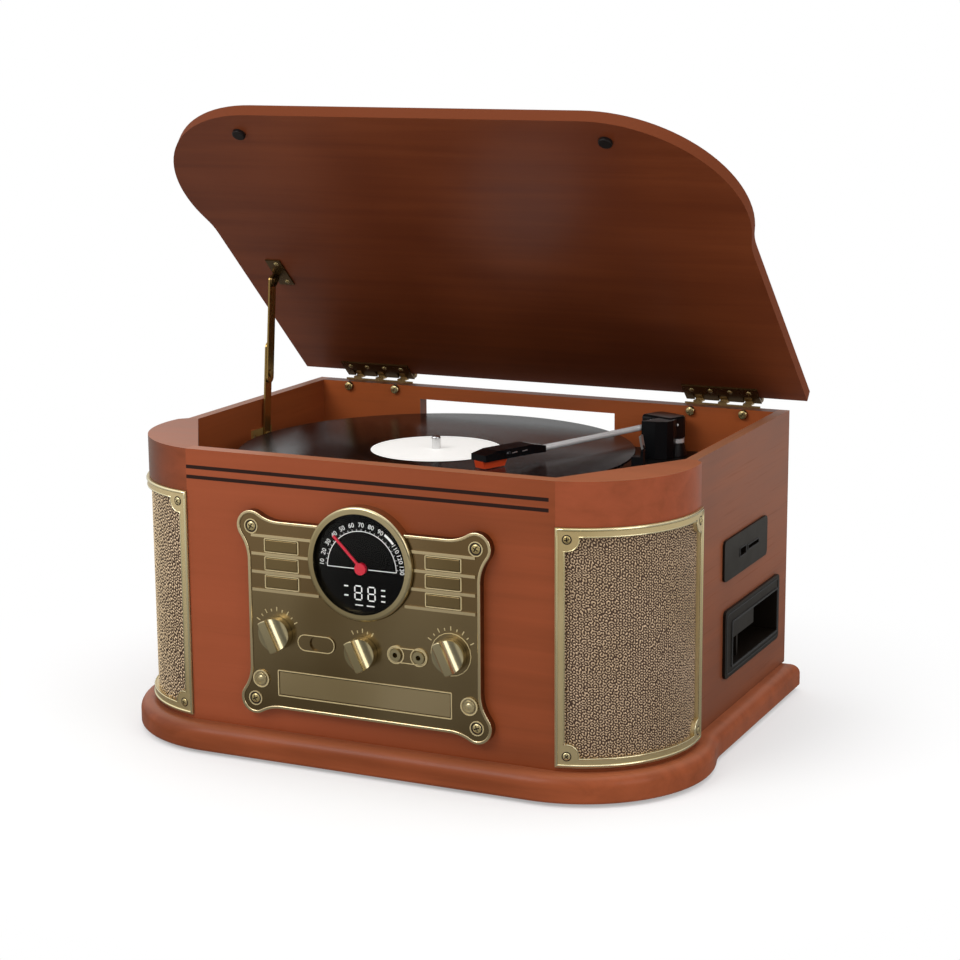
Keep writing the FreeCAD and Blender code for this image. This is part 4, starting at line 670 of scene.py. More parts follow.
def screw_tree(name, material):
    """Domed screw heads on points, each turned to its point's axis, with one slot or a cross."""
    g = Growth(name, ("Radius", "Rise", "Slot Width", "Slot Depth"), (), ("Cross",))
    radius, rise, depth = g.given("Radius"), g.given("Rise"), g.given("Slot Depth")
    size = {"Segments": 28, "Rings": 14, "Radius": 1.0}
    ball = g.node("GeometryNodeMeshUVSphere", None, size)
    dome = g.transform(ball, Scale=g.join(radius, radius, rise))
    bar_size = g.join(radius * 1.3, g.given("Slot Width"), depth * 2)
    bar = g.node("GeometryNodeMeshCube", None, {"Size": bar_size})
    other = g.transform(bar, Rotation=(0.0, 0.0, math.pi / 2))
    settings = {"input_type": "GEOMETRY"}
    second = g.node("GeometryNodeSwitch", settings, {"Switch": g.given("Cross"), "True": other})
    lift = g.join(0.0, 0.0, rise)
    bars = [g.transform(piece, Translation=lift) for piece in (bar, second)]
    settings = {"operation": "DIFFERENCE", "solver": "EXACT"}
    cut = g.node("GeometryNodeMeshBoolean", settings, {"Mesh 1": dome})
    for piece in bars:
        g.feed(cut.socket.node.inputs["Mesh 2"], piece)
    return g.finish(g.on_points(cut, True), material)


def shade_disc_tree(name, material):
    """Thin discs on points, each facing along its point's axis; dark ones serve as painted shade
    round screw heads.
    """
    g = Growth(name, ("Radius", "Rise"))
    inputs = {"Vertices": 28, "Radius": g.given("Radius"), "Depth": g.given("Rise") * 2}
    disc = g.node("GeometryNodeMeshCylinder", None, inputs)
    return g.finish(g.on_points(disc, False), material)


def seed_points(name, places):
    """Loose points with an axis and a spin for each screw."""
    mesh = bpy.data.meshes.new(name)
    mesh.from_pydata([p[0] for p in places], [], [])
    mesh.attributes.new("axis", "FLOAT_VECTOR", "POINT")
    mesh.attributes.new("spin", "FLOAT", "POINT")
    for i, (_, direction, degrees) in enumerate(places):
        mesh.attributes["axis"].data[i].vector = direction
        mesh.attributes["spin"].data[i].value = math.radians(degrees)
    return mesh


# Settings


def setting(kind, name, description, default, **more):
    return kind(name=name, description=description, default=default, **more)


def colour_setting(name, description, default):
    limits = {"subtype": "COLOR", "size": 3, "min": 0.0, "max": 1.0}
    return setting(bpy.props.FloatVectorProperty, name, description, default[:3], **limits)


def number_setting(name, description, default, **more):
    return setting(bpy.props.FloatProperty, name, description, default, **more)


def length_setting(name, description, default):
    return number_setting(name, description, default, unit="LENGTH", precision=5)


def count_setting(name, description, default):
    return setting(bpy.props.IntProperty, name, description, default)


class WoodSettings(bpy.types.PropertyGroup):
    front_light: colour_setting("Front, light", "Light grain of the front", rgb("894222"))
    front_dark: colour_setting("Front, dark", "Dark grain of the front", rgb("713517"))
    side_light: colour_setting("Sides, light", "Light grain of the sides", rgb("85492c"))
    side_dark: colour_setting("Sides, dark", "Dark grain of the sides", rgb("6c3b26"))
    lid_light: colour_setting("Lid, light", "Light grain of the lid", rgb("73391d"))
    lid_dark: colour_setting("Lid, dark", "Dark grain of the lid", rgb("5a2914"))
    edge: colour_setting("Lid edge", "Edge band of the lid", rgb("6c3419"))


class MetalSettings(bpy.types.PropertyGroup):
    plate_bright: colour_setting("Plate, bright", "Polished places of the plate", rgb("e0cda4"))
    plate_dark: colour_setting("Plate, dark", "Toned field of the plate", rgb("84704e"))
    frame_bright: colour_setting("Frame, bright", "Light tone of the frames", rgb("e8d6a8"))
    frame_dark: colour_setting("Frame, dark", "Dark tone of the frames", rgb("cdb785"))


class GrilleSettings(bpy.types.PropertyGroup):
    raised: colour_setting("Raised", "Colour of the raised worms", rgb("ecceb2"))
    recess: colour_setting("Recess", "Colour between the worms", rgb("513c2e"))
    relief: length_setting("Relief", "Height of the worms", 0.5 * MM)
    spacing_left: length_setting("Spacing, left", "Between worms on the left", 2.25 * MM)
    spacing_right: length_setting("Spacing, right", "Between worms on the right", 1.8 * MM)
    across: count_setting("Across", "Points across each sheet", 258)
    up: count_setting("Up", "Points up each sheet", 336)


class DialSettings(bpy.types.PropertyGroup):
    ink: colour_setting("Ink", "Colour of the print on the dial", rgb("f6f6f4"))
    arc_radius: length_setting("Arc radius", "Radius of the scale's half circle", 27 * MM)
    figure_radius: length_setting("Figure radius", "Where the figures stand", 31.3 * MM)
    figure_size: length_setting("Figure size", "Height of the figures", 4.7 * MM)
    steps: count_setting("Steps", "Number of figures on the scale", 13)


class StageSettings(bpy.types.PropertyGroup):
    floor: colour_setting("Floor", "Colour of the floor", (0.86, 0.86, 0.86))
    floor_near: number_setting("Near floor", "Near floor in reflections", 0.22)
    floor_far: number_setting("Far floor", "Far floor in reflections", 0.72)
    sky_mirrored: number_setting("Sky mirrored", "Horizon in reflections", 0.12)
    key_power: number_setting("Key light", "Main light", 30.0, unit="POWER")
    fill_power: number_setting("Fill light", "Side light", 10.0, unit="POWER")
    lens: number_setting("Lens", "Focal length in millimetres", 85.87)


# Operators


class PaintWood(bpy.types.Operator):
    """Gives the cabinet, plinth and lid their stained veneer"""

    bl_idname = "record_player.paint_wood"
    bl_label = "Paint wood"

    def execute(self, context):
        s = context.scene.rp_wood
        front_light, front_dark = opaque(s.front_light), opaque(s.front_dark)
        side_light, side_dark = opaque(s.side_light), opaque(s.side_dark)
        lid_light, lid_dark = opaque(s.lid_light), opaque(s.lid_dark)
        # Painted light: the front is painted lighter towards its left end, and its top gets a
        # painted sheen.
        painted_light_left = (-110 * MM, 130 * MM, rgb("95492a"), "x")
        look = {"stripes": True, "painted_shading": painted_light_left, "painted_top_light": 0.4}
        dress(stained_wood("front_wood", front_light, front_dark, 0, 0.0, **look), "front_panel")
        # Painted shade: the upright faces of the left corner block are painted darker; its top
        # gets a painted sheen.
        look = {"painted_shading": (-200 * MM, -130 * MM, rgb("4c2410"), "upright"), "painted_top_light": 0.3}
        corner = stained_wood("corner_wood", rgb("94482a"), front_dark, 0, 3.1, **look)
        dress(corner, "corner_blocks")
        # The plinth's top gets a little painted sheen of the light from above.
        plinth = stained_wood("plinth_wood", rgb("964c2a"), front_dark, 0, 7.7, painted_top_light=0.12)
        dress(plinth, "base_plinth")
        # Painted light: the side panels' inner faces are painted lighter, as if lit inside the
        # well.
        painted_light_inside = (INNER_X + 0.2 * MM, INNER_X + 0.6 * MM, rgb("b0592c"), "mirrored")
        look = {"painted_shading": painted_light_inside, "painted_top_light": 0.4}
        side = stained_wood("side_wood", side_light, side_dark, 1, 11.3, **look)
        dress(side, "left_side_panel", "right_side_panel")
        # Painted light: the back panel's inner face is painted lighter.
        inner_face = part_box("back_panel")[0].y
        lit = (inner_face + 0.4 * MM, inner_face + 0.8 * MM, rgb("b35c2e"), "y")
        dress(stained_wood("back_wood", side_light, side_dark, 0, 5.9, painted_shading=lit), "back_panel")
        lid_normal = (0.0, math.sin(LID_OPEN), math.cos(LID_OPEN))
        look = {"edge": (lid_normal, opaque(s.edge)), "coat": 0.012}
        dress(stained_wood("lid_wood", lid_light, lid_dark, 0, 2.3, **look), "lid_board")
        dress(plain("inner_board", rgb("a98a68"), 0.8), "speaker_baffles")
        return {"FINISHED"}


class PaintMetal(bpy.types.Operator):
    """Gives the brass and steel pieces their finish"""

    bl_idname = "record_player.paint_metal"
    bl_label = "Paint metal"

    def execute(self, context):
        s = context.scene.rp_metal
        bright, dark = opaque(s.plate_bright), opaque(s.plate_dark)
        band = (at(0, 0, 104.5).z, rgb("7e6342"))
        dress(brushed_brass("plate_brass", bright, dark, 0.22, PLATE_RIM, band), "control_plate")
        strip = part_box("cd_drawer")[0].y + 3.1 * MM
        bright, dark = opaque(s.frame_bright), opaque(s.frame_dark)
        dress(brushed_brass("frame_brass", bright, dark, 0.3, metallic=0.85), "grille_frames")
        keys = ["%s_button_%d" % (side, i) for side in ("left", "right") for i in (1, 2, 3)]
        knobs = ("function_knob", "tuning_knob", "volume_knob")
        round_keys = ("power_button", "eject_button")
        for name, light, deep, roughness, more, nodes in (
            ("drawer_brass", "f0dbb0", "ccb587", 0.2, {"behind": strip}, ["cd_drawer"]),
            ("key_brass", "9c8760", "7c6947", 0.25, {}, keys),
            ("round_key_brass", "ddcfa6", "b3a176", 0.25, {"metallic": 0.8}, round_keys),
            ("knob_brass", "ddd2b0", "b5a67c", 0.2, {}, knobs),
            ("bezel_brass", "d6c8a2", "a4946c", 0.22, {}, ["dial_bezel"]),
            ("frame_bead", "fbf0cc", "e6d9ab", 0.14, {}, []),
            ("screw_brass", "d9cda6", "ab9b70", 0.25, {}, ["front_screws", "audio_jacks"]),
            ("screw_head_brass", "eedfb0", "bda873", 0.2, {"metallic": 0.8}, []),
            ("bolt_brass", "c7ae7a", "8f744a", 0.25, {}, ["hinge_bolts", "motor_pulley"]),
        ):
            dress(brushed_brass(name, rgb(light), rgb(deep), roughness, **more), *nodes)
        for name, colour, roughness, metallic, nodes in (
            # Painted highlight: the raised lines are a paler, less metallic brass than the plate,
            # so they show bright as if catching light.
            ("outline_brass", "cdbb8e", 0.3, 0.35, []),
            # Painted shade: the lid's hinge leaves and stay bracket under the lid are a darker
            # copy of the brass; the wall leaves are the lit copy.
            ("hinge_brass", "5f4726", 0.28, 0.8, ["lid_hinges", "stay_lid_bracket"]),
            ("leaf_brass", "9c8050", 0.28, 0.6, ["wall_hinges"]),
            ("bracket_brass", "d0ac66", 0.25, 0.5, ["stay_wall_bracket"]),
            ("stay_brass", "a1834b", 0.18, 0.85, ["stay_lower_arm", "stay_upper_arm"]),
            ("steel", "c4c4c6", 0.22, 1.0, ["drive_motor", "control_pots"]),
            ("clip_grey", "a5a5a3", 0.3, 0.6, ["arm_clip"]),
        ):
            dress(plain(name, rgb(colour), roughness, metallic), *nodes)
        # Partly painted reflection: the chrome is near white and mostly not metallic, so it shows
        # bright as its reflections would make it.
        silver = plain("tube_silver", rgb("ffffff"), 0.12, 0.25, coat=0.6, wear=0.02)
        dress(silver, "arm_tube")
        return {"FINISHED"}


class PaintPlastic(bpy.types.Operator):
    """Gives the record, deck, tonearm and other dark pieces their finish"""

    bl_idname = "record_player.paint_plastic"
    bl_label = "Paint plastic"

    def execute(self, context):
        dress(record_vinyl(), "record_disc")
        dress(platter_finish(), "platter")
        black = ("arm_turret", "arm_rest", "cd_mechanism", "speaker_drivers")
        ports = ("usb_panel", "cassette_bezel", "rear_connector_plate")
        for name, colour, roughness, more, nodes in (
            ("deck_black", "141210", 0.35, {}, ["deck_plate", "speed_switch"]),
            ("black_plastic", "0e0f11", 0.32, {}, black),
            ("headshell_black", "0c0c0e", 0.22, {}, ["headshell"]),
            ("stylus_orange", "d9481f", 0.35, {}, ["stylus_guard"]),
            ("rubber", "131313", 0.75, {}, ["rubber_feet", "drive_belt", "platter_mat"]),
            ("bumper", "140b09", 0.5, {}, ["lid_bumpers"]),
            ("dial_black", "020202", 0.5, {"mirror": 0.05}, ["dial_face"]),
            ("pointer_red", "c8102e", 0.25, {"coat": 0.4}, ["dial_pointer"]),
            ("port_black", "140d07", 0.42, {"mirror": 0.2}, ports),
            ("tape_black", "17110c", 0.42, {}, ["cassette_mechanism", "tape_flap"]),
            ("board_green", "1f5a36", 0.5, {}, ["main_board"]),
        ):
            dress(plain(name, rgb(colour), roughness, **more), *nodes)
        return {"FINISHED"}


class GrowGrilles(bpy.types.Operator):
    """Makes the two embossed grille sheets and the beads of their frames"""

    bl_idname = "record_player.grow_grilles"
    bl_label = "Grow grilles"

    def execute(self, context):
        s = context.scene.rp_grille
        material = grille_finish(s)
        tree = relief_tree(material)
        low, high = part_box("grille_panels")
        start, arc = math.radians(-79.4), math.radians(89.3)
        inset = 0.8 * MM
        for side, centre, angle, spacing in (
            ("right", GRILLE_X, start, s.spacing_right),
            ("left", -GRILLE_X, math.pi - start - arc, s.spacing_left),
        ):
            inputs = {
                "Centre X": centre,
                "Centre Y": GRILLE_Y,
                "Radius": 82.06 * MM,
                "Start Angle": angle,
                "Arc": arc,
                "Bottom": low.z + inset,
                "Height": high.z - low.z - inset * 2,
                "Relief": s.relief,
                "Spacing": spacing,
                "Across": s.across,
                "Up": s.up,
            }
            mesh = grown(side + "_relief", tree, inputs)
            mesh.shade_smooth()
            put(side + "_grille_skin", mesh, "cabinet", material)
        brass = bpy.data.materials["frame_bead"]
        for name, side in (("right_beads", 1), ("left_beads", -1)):

            def beads(bm):
                self.draw_beads(bm, side, low.z, high.z - low.z)

            add(name, beads, "cabinet", brass, 60)
        return {"FINISHED"}

    def draw_beads(self, bm, side, bottom, height):
        """The raised outer bead and the lip round the window with its corner lobes."""
        reach = 84 * MM
        start, width = math.radians(-80.03), math.radians(90.53) * reach

        def bent(points, radius):
            spots = []
            for run, rise in points:
                a = start + run / reach
                x = side * (GRILLE_X + radius * math.cos(a))
                spots.append(Vector((x, GRILLE_Y + radius * math.sin(a), bottom + rise)))
            return spots

        def fine(points):
            out = []
            for a, b in zip(points, points[1:] + points[:1]):
                steps = max(1, int(math.dist(a, b) / (5 * MM)))
                run, rise = b[0] - a[0], b[1] - a[1]
                out += [(a[0] + run * k / steps, a[1] + rise * k / steps) for k in range(steps)]
            return out + out[:1]

        near, far, top = 1.3 * MM, width - 1.3 * MM, height - 1.3 * MM
        outer = [(near, near), (far, near), (far, top), (near, top)]
        tube(bm, bent(fine(outer), 85.3 * MM), 1.05 * MM, 10)
        border, lobe, inset = 6.2 * MM, 8.2 * MM, 8.0 * MM
        lean = math.degrees(math.asin((inset - border) / lobe))
        far, top = width - inset, height - inset
        loop = []
        corners = ((inset, inset, 0), (inset, top, -90), (far, top, 180), (far, inset, 90))
        for cx, cy, turn in corners:
            loop += arc_points(cx, cy, lobe, turn - lean, turn + 90 + lean, 8)
        tube(bm, bent(fine(loop), 85.35 * MM), 0.55 * MM, 8)


class AddScrews(bpy.types.Operator):
    """Makes the cross-headed screws of the front, the hinges and the stay, and slots the bolts"""

    bl_idname = "record_player.add_screws"
    bl_label = "Add screws"

    def execute(self, context):
        finish = bpy.data.materials["screw_head_brass"]
        # Dark discs under the heads are painted shade round each screw.
        painted_shade = plain("screw_seat", rgb("241a12"), 0.5)
        tree = screw_tree("screw_heads", finish)
        shade_discs = shade_disc_tree("screw_seats", painted_shade)

        def heads(name, body, places, radius, rise, groove, ring=0.0, cross=True):
            sizes = {"Radius": radius * MM, "Rise": rise * MM, "Slot Width": groove * MM}
            sizes.update({"Slot Depth": rise * (1.0 if ring else 0.75) * MM, "Cross": cross})
            mesh = grown(name, tree, sizes, seed_points(name + "_points", places))
            obj = put(name, mesh, body, finish)
            # With a ring, a dark disc of painted shade lies under the heads, and the slots are cut
            # down to it so that it shows through them as painted shade.
            if ring:
                name += "_seats"
                sizes = {"Radius": ring * MM, "Rise": 0.12 * MM}
                mesh = grown(name, shade_discs, sizes, seed_points(name + "_points", places))
                put(name, mesh, body, painted_shade)
            return obj

        forward = Vector((0, -1, 0))
        plate = [(at(x, -5.5, z), forward, x + z) for x, z in PLATE_SCREWS]
        plate_heads = heads(
            "front_screw_heads", "cabinet", plate, 3.4, 1.2, 0.9, ring=4.5
        )
        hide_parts("front_screws")
        grille = []
        for side in (-1, 1):
            middle = Vector((side * GRILLE_X, GRILLE_Y, 0))
            for degrees in (-74.57, 5.04):
                a = math.radians(degrees)
                out = Vector((side * math.cos(a), math.sin(a), 0))
                for rise in (11.2, 162.7):
                    spot = middle + out * 85.5 * MM
                    spot.z = BASE_TOP + rise * MM
                    grille.append((spot, out, 30 + rise + degrees))
        heads("grille_screw_heads", "cabinet", grille, 2.7, 1.0, 0.8, ring=3.4)
        down = Vector((0, -math.sin(LID_OPEN), -math.cos(LID_OPEN)))
        places = [(-184.0, 166.5, 20), (-184.0, 189.5, 70)]
        for hinge in (-151.5, 151.5):
            for step, spin in ((-23.5, 10), (-8, 55), (8, 100), (23.5, 30)):
                places.append((hinge + step, 309.0, spin))
        lid = [(on_open_lid(at(x, y, 204.2)), down, spin) for x, y, spin in places]
        heads("lid_screw_heads", "lid", lid, 2.1, 1.0, 0.5)
        places = ((186.0, 172.6), (208.5, 173.5))
        wall = [(at(-196.6, y, z), Vector((1, 0, 0)), 15) for y, z in places]
        heads("stay_screw_heads", "cabinet", wall, 2.0, 0.3, 0.5)
        bolts = [(at(x, 300.4, 198.3), forward, 60) for x in (-173.1, -129.9, 129.9, 173.1)]
        heads("bolt_heads", "cabinet", bolts, 3.5, 1.2, 0.9, cross=False)
        return {"FINISHED"}


class OutlinePlate(bpy.types.Operator):
    """Draws the plate's raised lines and ticks and domes its two round buttons"""

    bl_idname = "record_player.outline_plate"
    bl_label = "Outline plate"

    def execute(self, context):
        brass = bpy.data.materials["outline_brass"]
        add("plate_lines", self.draw_lines, "cabinet", brass)
        add("plate_ticks", self.draw_ticks, "cabinet", brass)
        domed = bpy.data.materials["round_key_brass"]
        for key in ("power", "eject"):
            low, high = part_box(key + "_button")
            middle = Vector(((low.x + high.x) / 2, low.y, (low.z + high.z) / 2))
            half = (high.x - low.x) / 2

            def cap(bm):
                base = 0.1 * MM
                dome = ((0.0, -0.9), (0.3, -0.75), (0.52, -0.3))
                profile = [(half * share, depth * MM) for share, depth in dome]
                turned_ring(bm, middle, profile + [(half * 0.6, base), (0.0, base)], 36)
                inner, outer, face = half * 0.8, half * 0.95, -0.4 * MM
                ring = [(inner, base), (inner, face), (outer, face), (outer, base)]
                turned_ring(bm, middle, ring + ring[:1], 36)

            add(key + "_cap", cap, key, domed, 50)
        return {"FINISHED"}

    def draw_lines(self, bm):
        """Thin raised lines round the keys, the drawer, the fittings, a knob and the screws."""

        def box(x, z, half_x, half_z, radius, width, rise):
            top, base = PLATE_FACE - rise * MM, PLATE_FACE + 0.2 * MM
            raised_frame(bm, at(x, 0, z), half_x, half_z, radius, width, base, top)

        def circle(x, z, radius, width, rise):
            box(x, z, radius, radius, radius, width, rise)

        for x in (-63.4, 63.4):
            for row in range(3):
                box(x, 112.2 + 13.2 * row, 13.5, 4.8, 0.8, 0.7, 0.9)
        box(0, 38.05, 68.6, 9.35, 0.6, 0.7, 0.45)
        box(-36.8, FITTINGS_UP + 0.4, 14.6, 5.8, 5.8, 0.6, 1.15)
        box(35.3, FITTINGS_UP, 14.3, 5.2, 5.2, 0.6, 1.15)
        for x in (26.3, 44.3):
            circle(x, FITTINGS_UP, 6.2, 0.7, 1.3)
        circle(SIDE_KNOB_X, SIDE_KNOB_UP, 15.2, 0.5, 0.3)
        for x in (-82.4, 82.4):
            circle(x, 39.7, 6.1, 0.8, 1.35)
        for x, z in PLATE_SCREWS:
            circle(x, z, 5.0, 0.7, 0.6)

    def draw_ticks(self, bm):
        """Short ticks over the knobs, every second one longer."""
        depths = (PLATE_FACE - 0.2 * MM, PLATE_FACE + 0.1 * MM)
        for x, z, radius, reach in (
            (-SIDE_KNOB_X, SIDE_KNOB_UP, 16.0, 4),
            (0.0, 68.5, 14.2, 2),
            (SIDE_KNOB_X, SIDE_KNOB_UP, 17.2, 4),
        ):
            for k in range(-reach, reach + 1):
                end = radius + (3.0 if k % 2 == 0 else 1.8)
                angle = math.radians(90 - 15 * k)
                radial_mark(bm, at(x, 0, z), angle, radius * MM, end * MM, 0.35 * MM, *depths)


class PrintDial(bpy.types.Operator):
    """Prints the scale, figures and digits on the dial and covers it with a lens"""

    bl_idname = "record_player.print_dial"
    bl_label = "Print dial"

    def execute(self, context):
        s = context.scene.rp_dial
        ink = plain("dial_ink", opaque(s.ink), 0.5)
        y1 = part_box("dial_face")[0].y
        y0 = y1 - 0.06 * MM
        pivot = Vector((0, y1, at(0, 0, 128.4).z))

        def bar(bm, x, z, half_x, half_z):
            corners = ((-half_x, -half_z), (half_x, -half_z), (half_x, half_z), (-half_x, half_z))
            slab(bm, [(x + dx, z + dz) for dx, dz in corners], y0, y1)

        def arc(bm, radius, width, start, end, steps):
            outer = arc_points(pivot.x, pivot.z, radius + width / 2, start, end, steps)
            inner = arc_points(pivot.x, pivot.z, radius - width / 2, end, start, steps)
            slab(bm, outer + inner, y0, y1)

        def digit(bm, cx, cz):
            """An eight of seven bars."""
            half, rise, stroke = 2.7 * MM, 4.9 * MM, 0.9 * MM
            run, gap = half - stroke * 0.6, stroke * 0.75
            for z in (cz - rise, cz, cz + rise):
                bar(bm, cx, z, run, stroke / 2)
            for x in (cx - half, cx + half):
                for z in (cz - rise / 2, cz + rise / 2):
                    bar(bm, x, z, stroke / 2, rise / 2 - gap)

        def marks(bm):
            r, hub, thin = s.arc_radius, 5.2 * MM, 0.25 * MM
            arc(bm, r, thin * 2, 0, 180, 64)
            for middle in (-(r + hub) / 2, (r + hub) / 2):
                bar(bm, middle, pivot.z, (r - hub) / 2, thin)
            arc(bm, s.figure_radius + 0.6 * MM, 1.7 * MM, 39, 55, 14)
            ticks = s.steps * 2 - 1
            for i in range(ticks):
                a = math.pi - math.pi * (i + 0.5) / ticks
                radial_mark(bm, pivot, a, r + 0.5 * MM, r + 1.5 * MM, 0.16 * MM, y0, y1)
            display = 111.2
            for x in (-3.0, 7.4):
                digit(bm, x * MM, at(0, 0, display).z)
            short = [(-12.5, 4.2), (-12.5, -2.5), (16.5, 3.5), (16.5, -0.5), (16.5, -4.5)]
            dashes = [(x, up, 1.6, 0.5) for x, up in short]
            dashes += [(x, -8.8, 3.0, 0.4) for x in (-2.5, 6.5)]
            for x, up, half_x, half_z in dashes:
                bar(bm, x * MM, at(0, 0, display + up).z, half_x * MM, half_z * MM)

        add("dial_marks", marks, "cabinet", ink)
        figures = bmesh.new()
        for i in range(s.steps):
            a = math.pi - math.pi * (i + 0.3) / (s.steps - 0.4)
            if math.radians(36) < a < math.radians(58):
                continue
            place = pivot + Vector((math.cos(a), 0, math.sin(a))) * s.figure_radius
            place.y = (y0 + y1) / 2
            text = str(10 * (i + 1))
            figures.from_mesh(words(text, s.figure_size, place, y1 - y0, a - math.pi / 2))
        mesh = bpy.data.meshes.new("dial_figures")
        figures.to_mesh(mesh)
        figures.free()
        put("dial_figures", mesh, "cabinet", ink)
        add("dial_lens", self.draw_lens, "cabinet", lens_finish(), 40)
        return {"FINISHED"}

    def draw_lens(self, bm):
        """A domed cover with a flat rim."""
        edge, rim, thick = FRONT - 6.85 * MM, 38.2 * MM, 0.6 * MM
        steps = 14
        outer = []
        for i in range(steps + 1):
            share = i / steps
            outer.append((35.9 * MM * share, edge - 2.6 * MM * (1 - share**2)))
        inner = [(radius, depth + thick) for radius, depth in outer]
        profile = outer + [(rim, edge + 0.1 * MM), (rim, edge + 0.7 * MM)] + inner[::-1]
        centre = Vector((0, 0, at(0, 0, 132.5).z))
        turned_ring(bm, centre, profile, 72)


class AddArmDetails(bpy.types.Operator):
    """Adds the finger lift, the headshell's screws, and the dot and collar of the arm's housing"""

    bl_idname = "record_player.add_arm_details"
    bl_label = "Add arm details"

    def execute(self, context):
        swing = Vector(JOINTS["arm_swing"]["pos_m"])
        axis_z = JOINTS["arm_lift"]["pos_m"][2]
        playing = math.radians(-113.0)
        along = Vector((math.cos(playing), math.sin(playing), 0))
        across = Vector((-math.sin(playing), math.cos(playing), 0))
        shell = (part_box("headshell")[1].z - axis_z) / MM
        turret = (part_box("arm_turret")[1].z - axis_z) / MM

        def spots(*places):
            """Points in millimetres: along the arm, across it and above its axis."""
            axis = Vector((swing.x, swing.y, 0))
            points = []
            for forward, side, rise in places:
                up = Vector((0, 0, axis_z + rise * MM))
                points.append(axis + up + along * forward * MM + across * side * MM)
            return points

        def lift(bm):
            bends = ((172, 6, -2.0), (174, 10, -2.6), (177, 13, -2.2), (181, 15, -1.0))
            points = spots(*((forward, side, shell + rise) for forward, side, rise in bends))
            tube(bm, points, 0.8 * MM, 12)

        def screws(bm):
            for middle in (158, 168):
                ends = spots((middle - 2.5, 8.1, shell - 3.2), (middle + 2.5, 8.1, shell - 3.6))
                tube(bm, ends, 0.7 * MM, 8)

        def dot(bm):
            tube(bm, spots((2.0, 15.0, 0.6), (2.0, 15.7, 0.6)), 1.0 * MM, 14)

        def collar(bm):
            tube(bm, spots((0, 11, turret - 20.0), (0, 11, turret - 16.8)), 7.2 * MM, 32)

        looks = bpy.data.materials
        white = plain("dot_white", rgb("f2f2f0"), 0.3)
        add("finger_lift", lift, "tonearm", looks["headshell_black"], 50)
        add("headshell_screws", screws, "tonearm", looks["steel"], 50)
        add("turret_dots", dot, "arm_post", white)
        # The collar takes the tube's near-white finish, which paints its chrome reflection as a
        # bright highlight.
        add("post_collar", collar, "arm_post", looks["tube_silver"], 40)
        return {"FINISHED"}


class AddPortDetails(bpy.types.Operator):
    """Adds the lip round the cassette mouth and the rims of the port panel's sockets"""

    bl_idname = "record_player.add_port_details"
    bl_label = "Add port details"

    def execute(self, context):
        black = bpy.data.materials["tape_black"]
        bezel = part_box("cassette_bezel")[1].x
        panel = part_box("usb_panel")[1].x

        def lip(bm, face, y, z, half_y, half_z, radius, width, sunk, rise):
            depths = (face - sunk * MM, face + rise * MM)
            raised_frame(bm, at(0, y, z), half_y, half_z, radius, width, *depths, sideways=True)

        def mouth(bm):
            lip(bm, bezel, 232.5, 50.0, 53.6, 17.1, 1.5, 1.2, 0.3, 0.7)
            lip(bm, bezel, 227.5, 52.0, 60.0, 22.6, 3.0, 0.8, 0.3, 0.35)

        def sockets(bm):
            lip(bm, panel, 202.0, 115.65, 7.2, 3.3, 0.6, 0.8, 0.2, 0.4)
            lip(bm, panel, 226.0, 115.65, 12.8, 1.9, 0.6, 0.8, 0.2, 0.4)

        add("cassette_lip", mouth, "cabinet", black)
        add("socket_rims", sockets, "cabinet", black)
        return {"FINISHED"}


